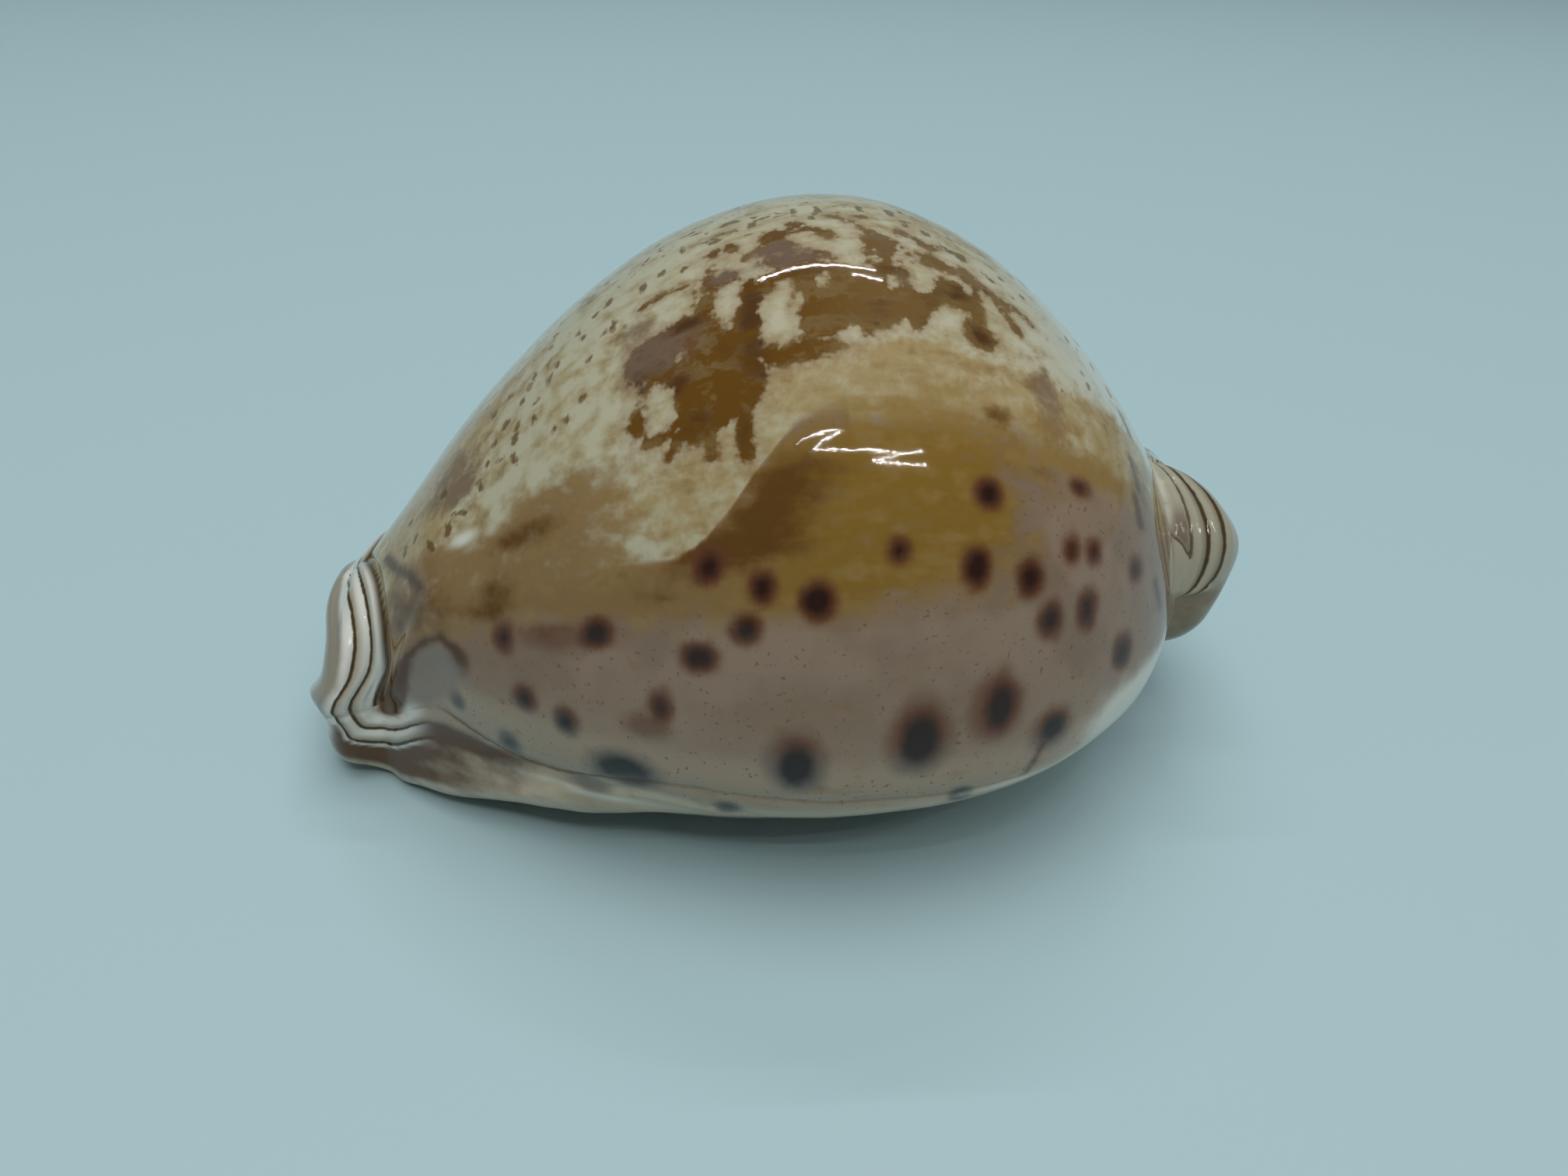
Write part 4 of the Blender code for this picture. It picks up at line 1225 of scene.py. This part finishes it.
print("ends laid,", len(tree.nodes), "nodes")

# %% [markdown]
# ## The gloss
# The enamel is as smooth as glazed china, so the roughness is low. A very faint bump of broad and
# fine noise keeps the reflections from being perfect.

# %% Gloss and fine unevenness
SHEEN = 0.36
UNEVENNESS = 0.25
UNEVENNESS_HEIGHT = 0.03         # mm

connect(colour, shader.inputs["Base Color"])
connect(cut(medium, -0.3, 0.3, 0.035, 0.065), shader.inputs["Roughness"])
shader.inputs["Specular IOR Level"].default_value = SHEEN
unevenness = tree.nodes.new("ShaderNodeBump")
unevenness.inputs["Strength"].default_value = UNEVENNESS
unevenness.inputs["Distance"].default_value = UNEVENNESS_HEIGHT * MM
connect(sum_up(times(medium, 0.7), times(fine, 0.3)), unevenness.inputs["Height"])
tree.links.new(unevenness.outputs["Normal"], shader.inputs["Normal"])
skin_mesh.materials.append(enamel)
print("enamel has", len(tree.nodes), "nodes")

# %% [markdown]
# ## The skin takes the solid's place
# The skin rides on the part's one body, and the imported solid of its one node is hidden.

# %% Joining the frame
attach(skin, "root")
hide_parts("cowrie_shell")

# %% [markdown]
# ## Floor, light and camera
# The shell lies on a plain pale floor that curves up behind it, so there is no horizon line.
# Rows of narrow lamps overhead, in front and behind, give the thin broken highlights that
# enamel shows under a ceiling. The even light of the room comes from a soft box and the world.

# %% Floor
FLOOR_COLOUR = (0.385, 0.535, 0.565, 1.0)
FLOOR_ROUGHNESS = 0.6
FLOOR_HALF_WIDTH = 3.0           # m, as are the lengths below
FLOOR_FRONT = 1.5
FLOOR_BACK = 0.8
FLOOR_BEND = 0.6
WALL_TOP = 3.0
FLOOR_STEPS = 24


def floor_mesh(half_width_m, front_m, back_m, bend_m):
    """A flat sheet whose far part bends up on a quarter circle and goes on as a wall."""
    flat = np.linspace(-front_m, back_m, FLOOR_STEPS)
    arc = np.linspace(0.0, 0.5 * np.pi, FLOOR_STEPS)[1:]
    y = np.concatenate([flat, back_m + bend_m * np.sin(arc), [back_m + bend_m]])
    z = np.concatenate([np.zeros(FLOOR_STEPS), bend_m * (1.0 - np.cos(arc)), [WALL_TOP]])
    grid_x, grid_y = np.meshgrid([-half_width_m, half_width_m], y, indexing="ij")
    points = np.stack([grid_x, grid_y, np.broadcast_to(z, grid_y.shape)], axis=-1).reshape(-1, 3)
    first = np.arange(len(y) - 1)
    quads = np.stack([first, first + len(y), first + len(y) + 1, first + 1], axis=-1)
    mesh = bpy.data.meshes.new("floor")
    mesh.from_pydata(points.tolist(), [], quads.tolist())
    mesh.shade_smooth()
    return mesh


floor_sheet = floor_mesh(FLOOR_HALF_WIDTH, FLOOR_FRONT, FLOOR_BACK, FLOOR_BEND)
floor = bpy.data.objects.new("floor", floor_sheet)
bpy.context.scene.collection.objects.link(floor)
floor_paint = bpy.data.materials.new("floor_paint")
floor_paint.use_nodes = True
floor_paint.node_tree.nodes["Principled BSDF"].inputs["Base Color"].default_value = FLOOR_COLOUR
floor_paint.node_tree.nodes["Principled BSDF"].inputs["Roughness"].default_value = FLOOR_ROUGHNESS
floor.data.materials.append(floor_paint)
print("floor laid")

# %% [markdown]
# Each lamp is a flat area light that is turned to face the shell. The rows differ in place,
# length and tilt. The soft box lights the shell but is kept out of its gloss.

# %% Lamps and room light
def hang_lamp(name, place_m, length, width, power, tilt=0.0):
    """A flat lamp with its length along X, turned by the tilt, which shines at the shell."""
    lamp = bpy.data.lights.new(name, "AREA")
    lamp.shape = "RECTANGLE"
    lamp.size = length
    lamp.size_y = width
    lamp.energy = power
    stand = bpy.data.objects.new(name, lamp)
    stand.location = place_m
    stand.rotation_euler = (-np.arctan2(place_m[1], place_m[2]), 0.0, tilt)
    bpy.context.scene.collection.objects.link(stand)
    return stand


LAMP_DISTANCE = 1.5              # m, from the shell, as are the lengths below
LAMP_WIDTH = 0.004
WATTS_PER_METRE = 2.5
SOFT_BOX_PLACE = (0.0, -0.19, 1.29)
SOFT_BOX_SIDE = 1.2
SOFT_BOX_WATTS = 11.5
ROOM_TINT = (0.95, 0.98, 1.0, 1.0)
ROOM_STRENGTH = 0.20
# Each row: metres along X, degrees from overhead (towards the camera), length in metres, tilt.
CEILING_ROWS = [
    (-0.03, -30.2, 0.80, 0.0), (0.32, -26.0, 0.20, -0.1),
    (-0.14, 34.2, 0.42, 0.18), (-0.03, 36.6, 0.28, 0.75), (0.14, 39.8, 0.54, -0.05),
    (0.44, 41.0, 0.42, 0.42), (0.48, 43.6, 0.42, 0.05),
]
for number, (place_x, lean, length, tilt) in enumerate(CEILING_ROWS):
    lean = np.radians(lean)
    place_m = (place_x, -LAMP_DISTANCE * np.sin(lean), LAMP_DISTANCE * np.cos(lean))
    hang_lamp(f"ceiling_row_{number}", place_m, length, LAMP_WIDTH, WATTS_PER_METRE * length, tilt)

soft_box = hang_lamp("soft_box", SOFT_BOX_PLACE, SOFT_BOX_SIDE, SOFT_BOX_SIDE, SOFT_BOX_WATTS)
soft_box.visible_glossy = False

world = bpy.data.worlds.new("room")
world.use_nodes = True
world.node_tree.nodes["Background"].inputs["Color"].default_value = ROOM_TINT
world.node_tree.nodes["Background"].inputs["Strength"].default_value = ROOM_STRENGTH
bpy.context.scene.world = world
print("lamps hung")

# %% [markdown]
# The camera stands close, about 9 cm from the middle of the shell's footprint, to the
# columella side and a little to the front end. It looks down at not quite thirty degrees.

# %% Camera
CAMERA_PLACE = (-7.18, -76.55, 53.62)     # mm, from the middle of the shell's footprint
HEADING = 5.5                             # degrees, turned from +Y towards +X
LOOK_DOWN = 29.4
ROLL = 1.35
LENS = 29.1                               # mm
SENSOR_WIDTH = 36.0                       # mm
NEAREST_SEEN = 0.005                      # m

footprint = 0.5 * (cad_low + cad_high)
camera_data = bpy.data.cameras.new("camera")
camera_data.lens = LENS
camera_data.sensor_width = SENSOR_WIDTH
camera_data.clip_start = NEAREST_SEEN
camera = bpy.data.objects.new("camera", camera_data)
camera.location = Vector((footprint.x, footprint.y, 0.0)) + Vector(CAMERA_PLACE) * MM
bpy.context.scene.collection.objects.link(camera)
bpy.context.scene.camera = camera
heading = Matrix.Rotation(np.radians(-HEADING), 4, "Z")
pitch = Matrix.Rotation(np.radians(90.0 - LOOK_DOWN), 4, "X")
roll = Matrix.Rotation(np.radians(ROLL), 4, "Z")
camera.rotation_euler = (heading @ pitch @ roll).to_euler()
print("camera at", [round(value / MM, 1) for value in camera.location])

# %% [markdown]
# ## Colour management
# The Standard view keeps the colours as they are written.

# %% Finish
bpy.context.scene.view_settings.view_transform = "Standard"
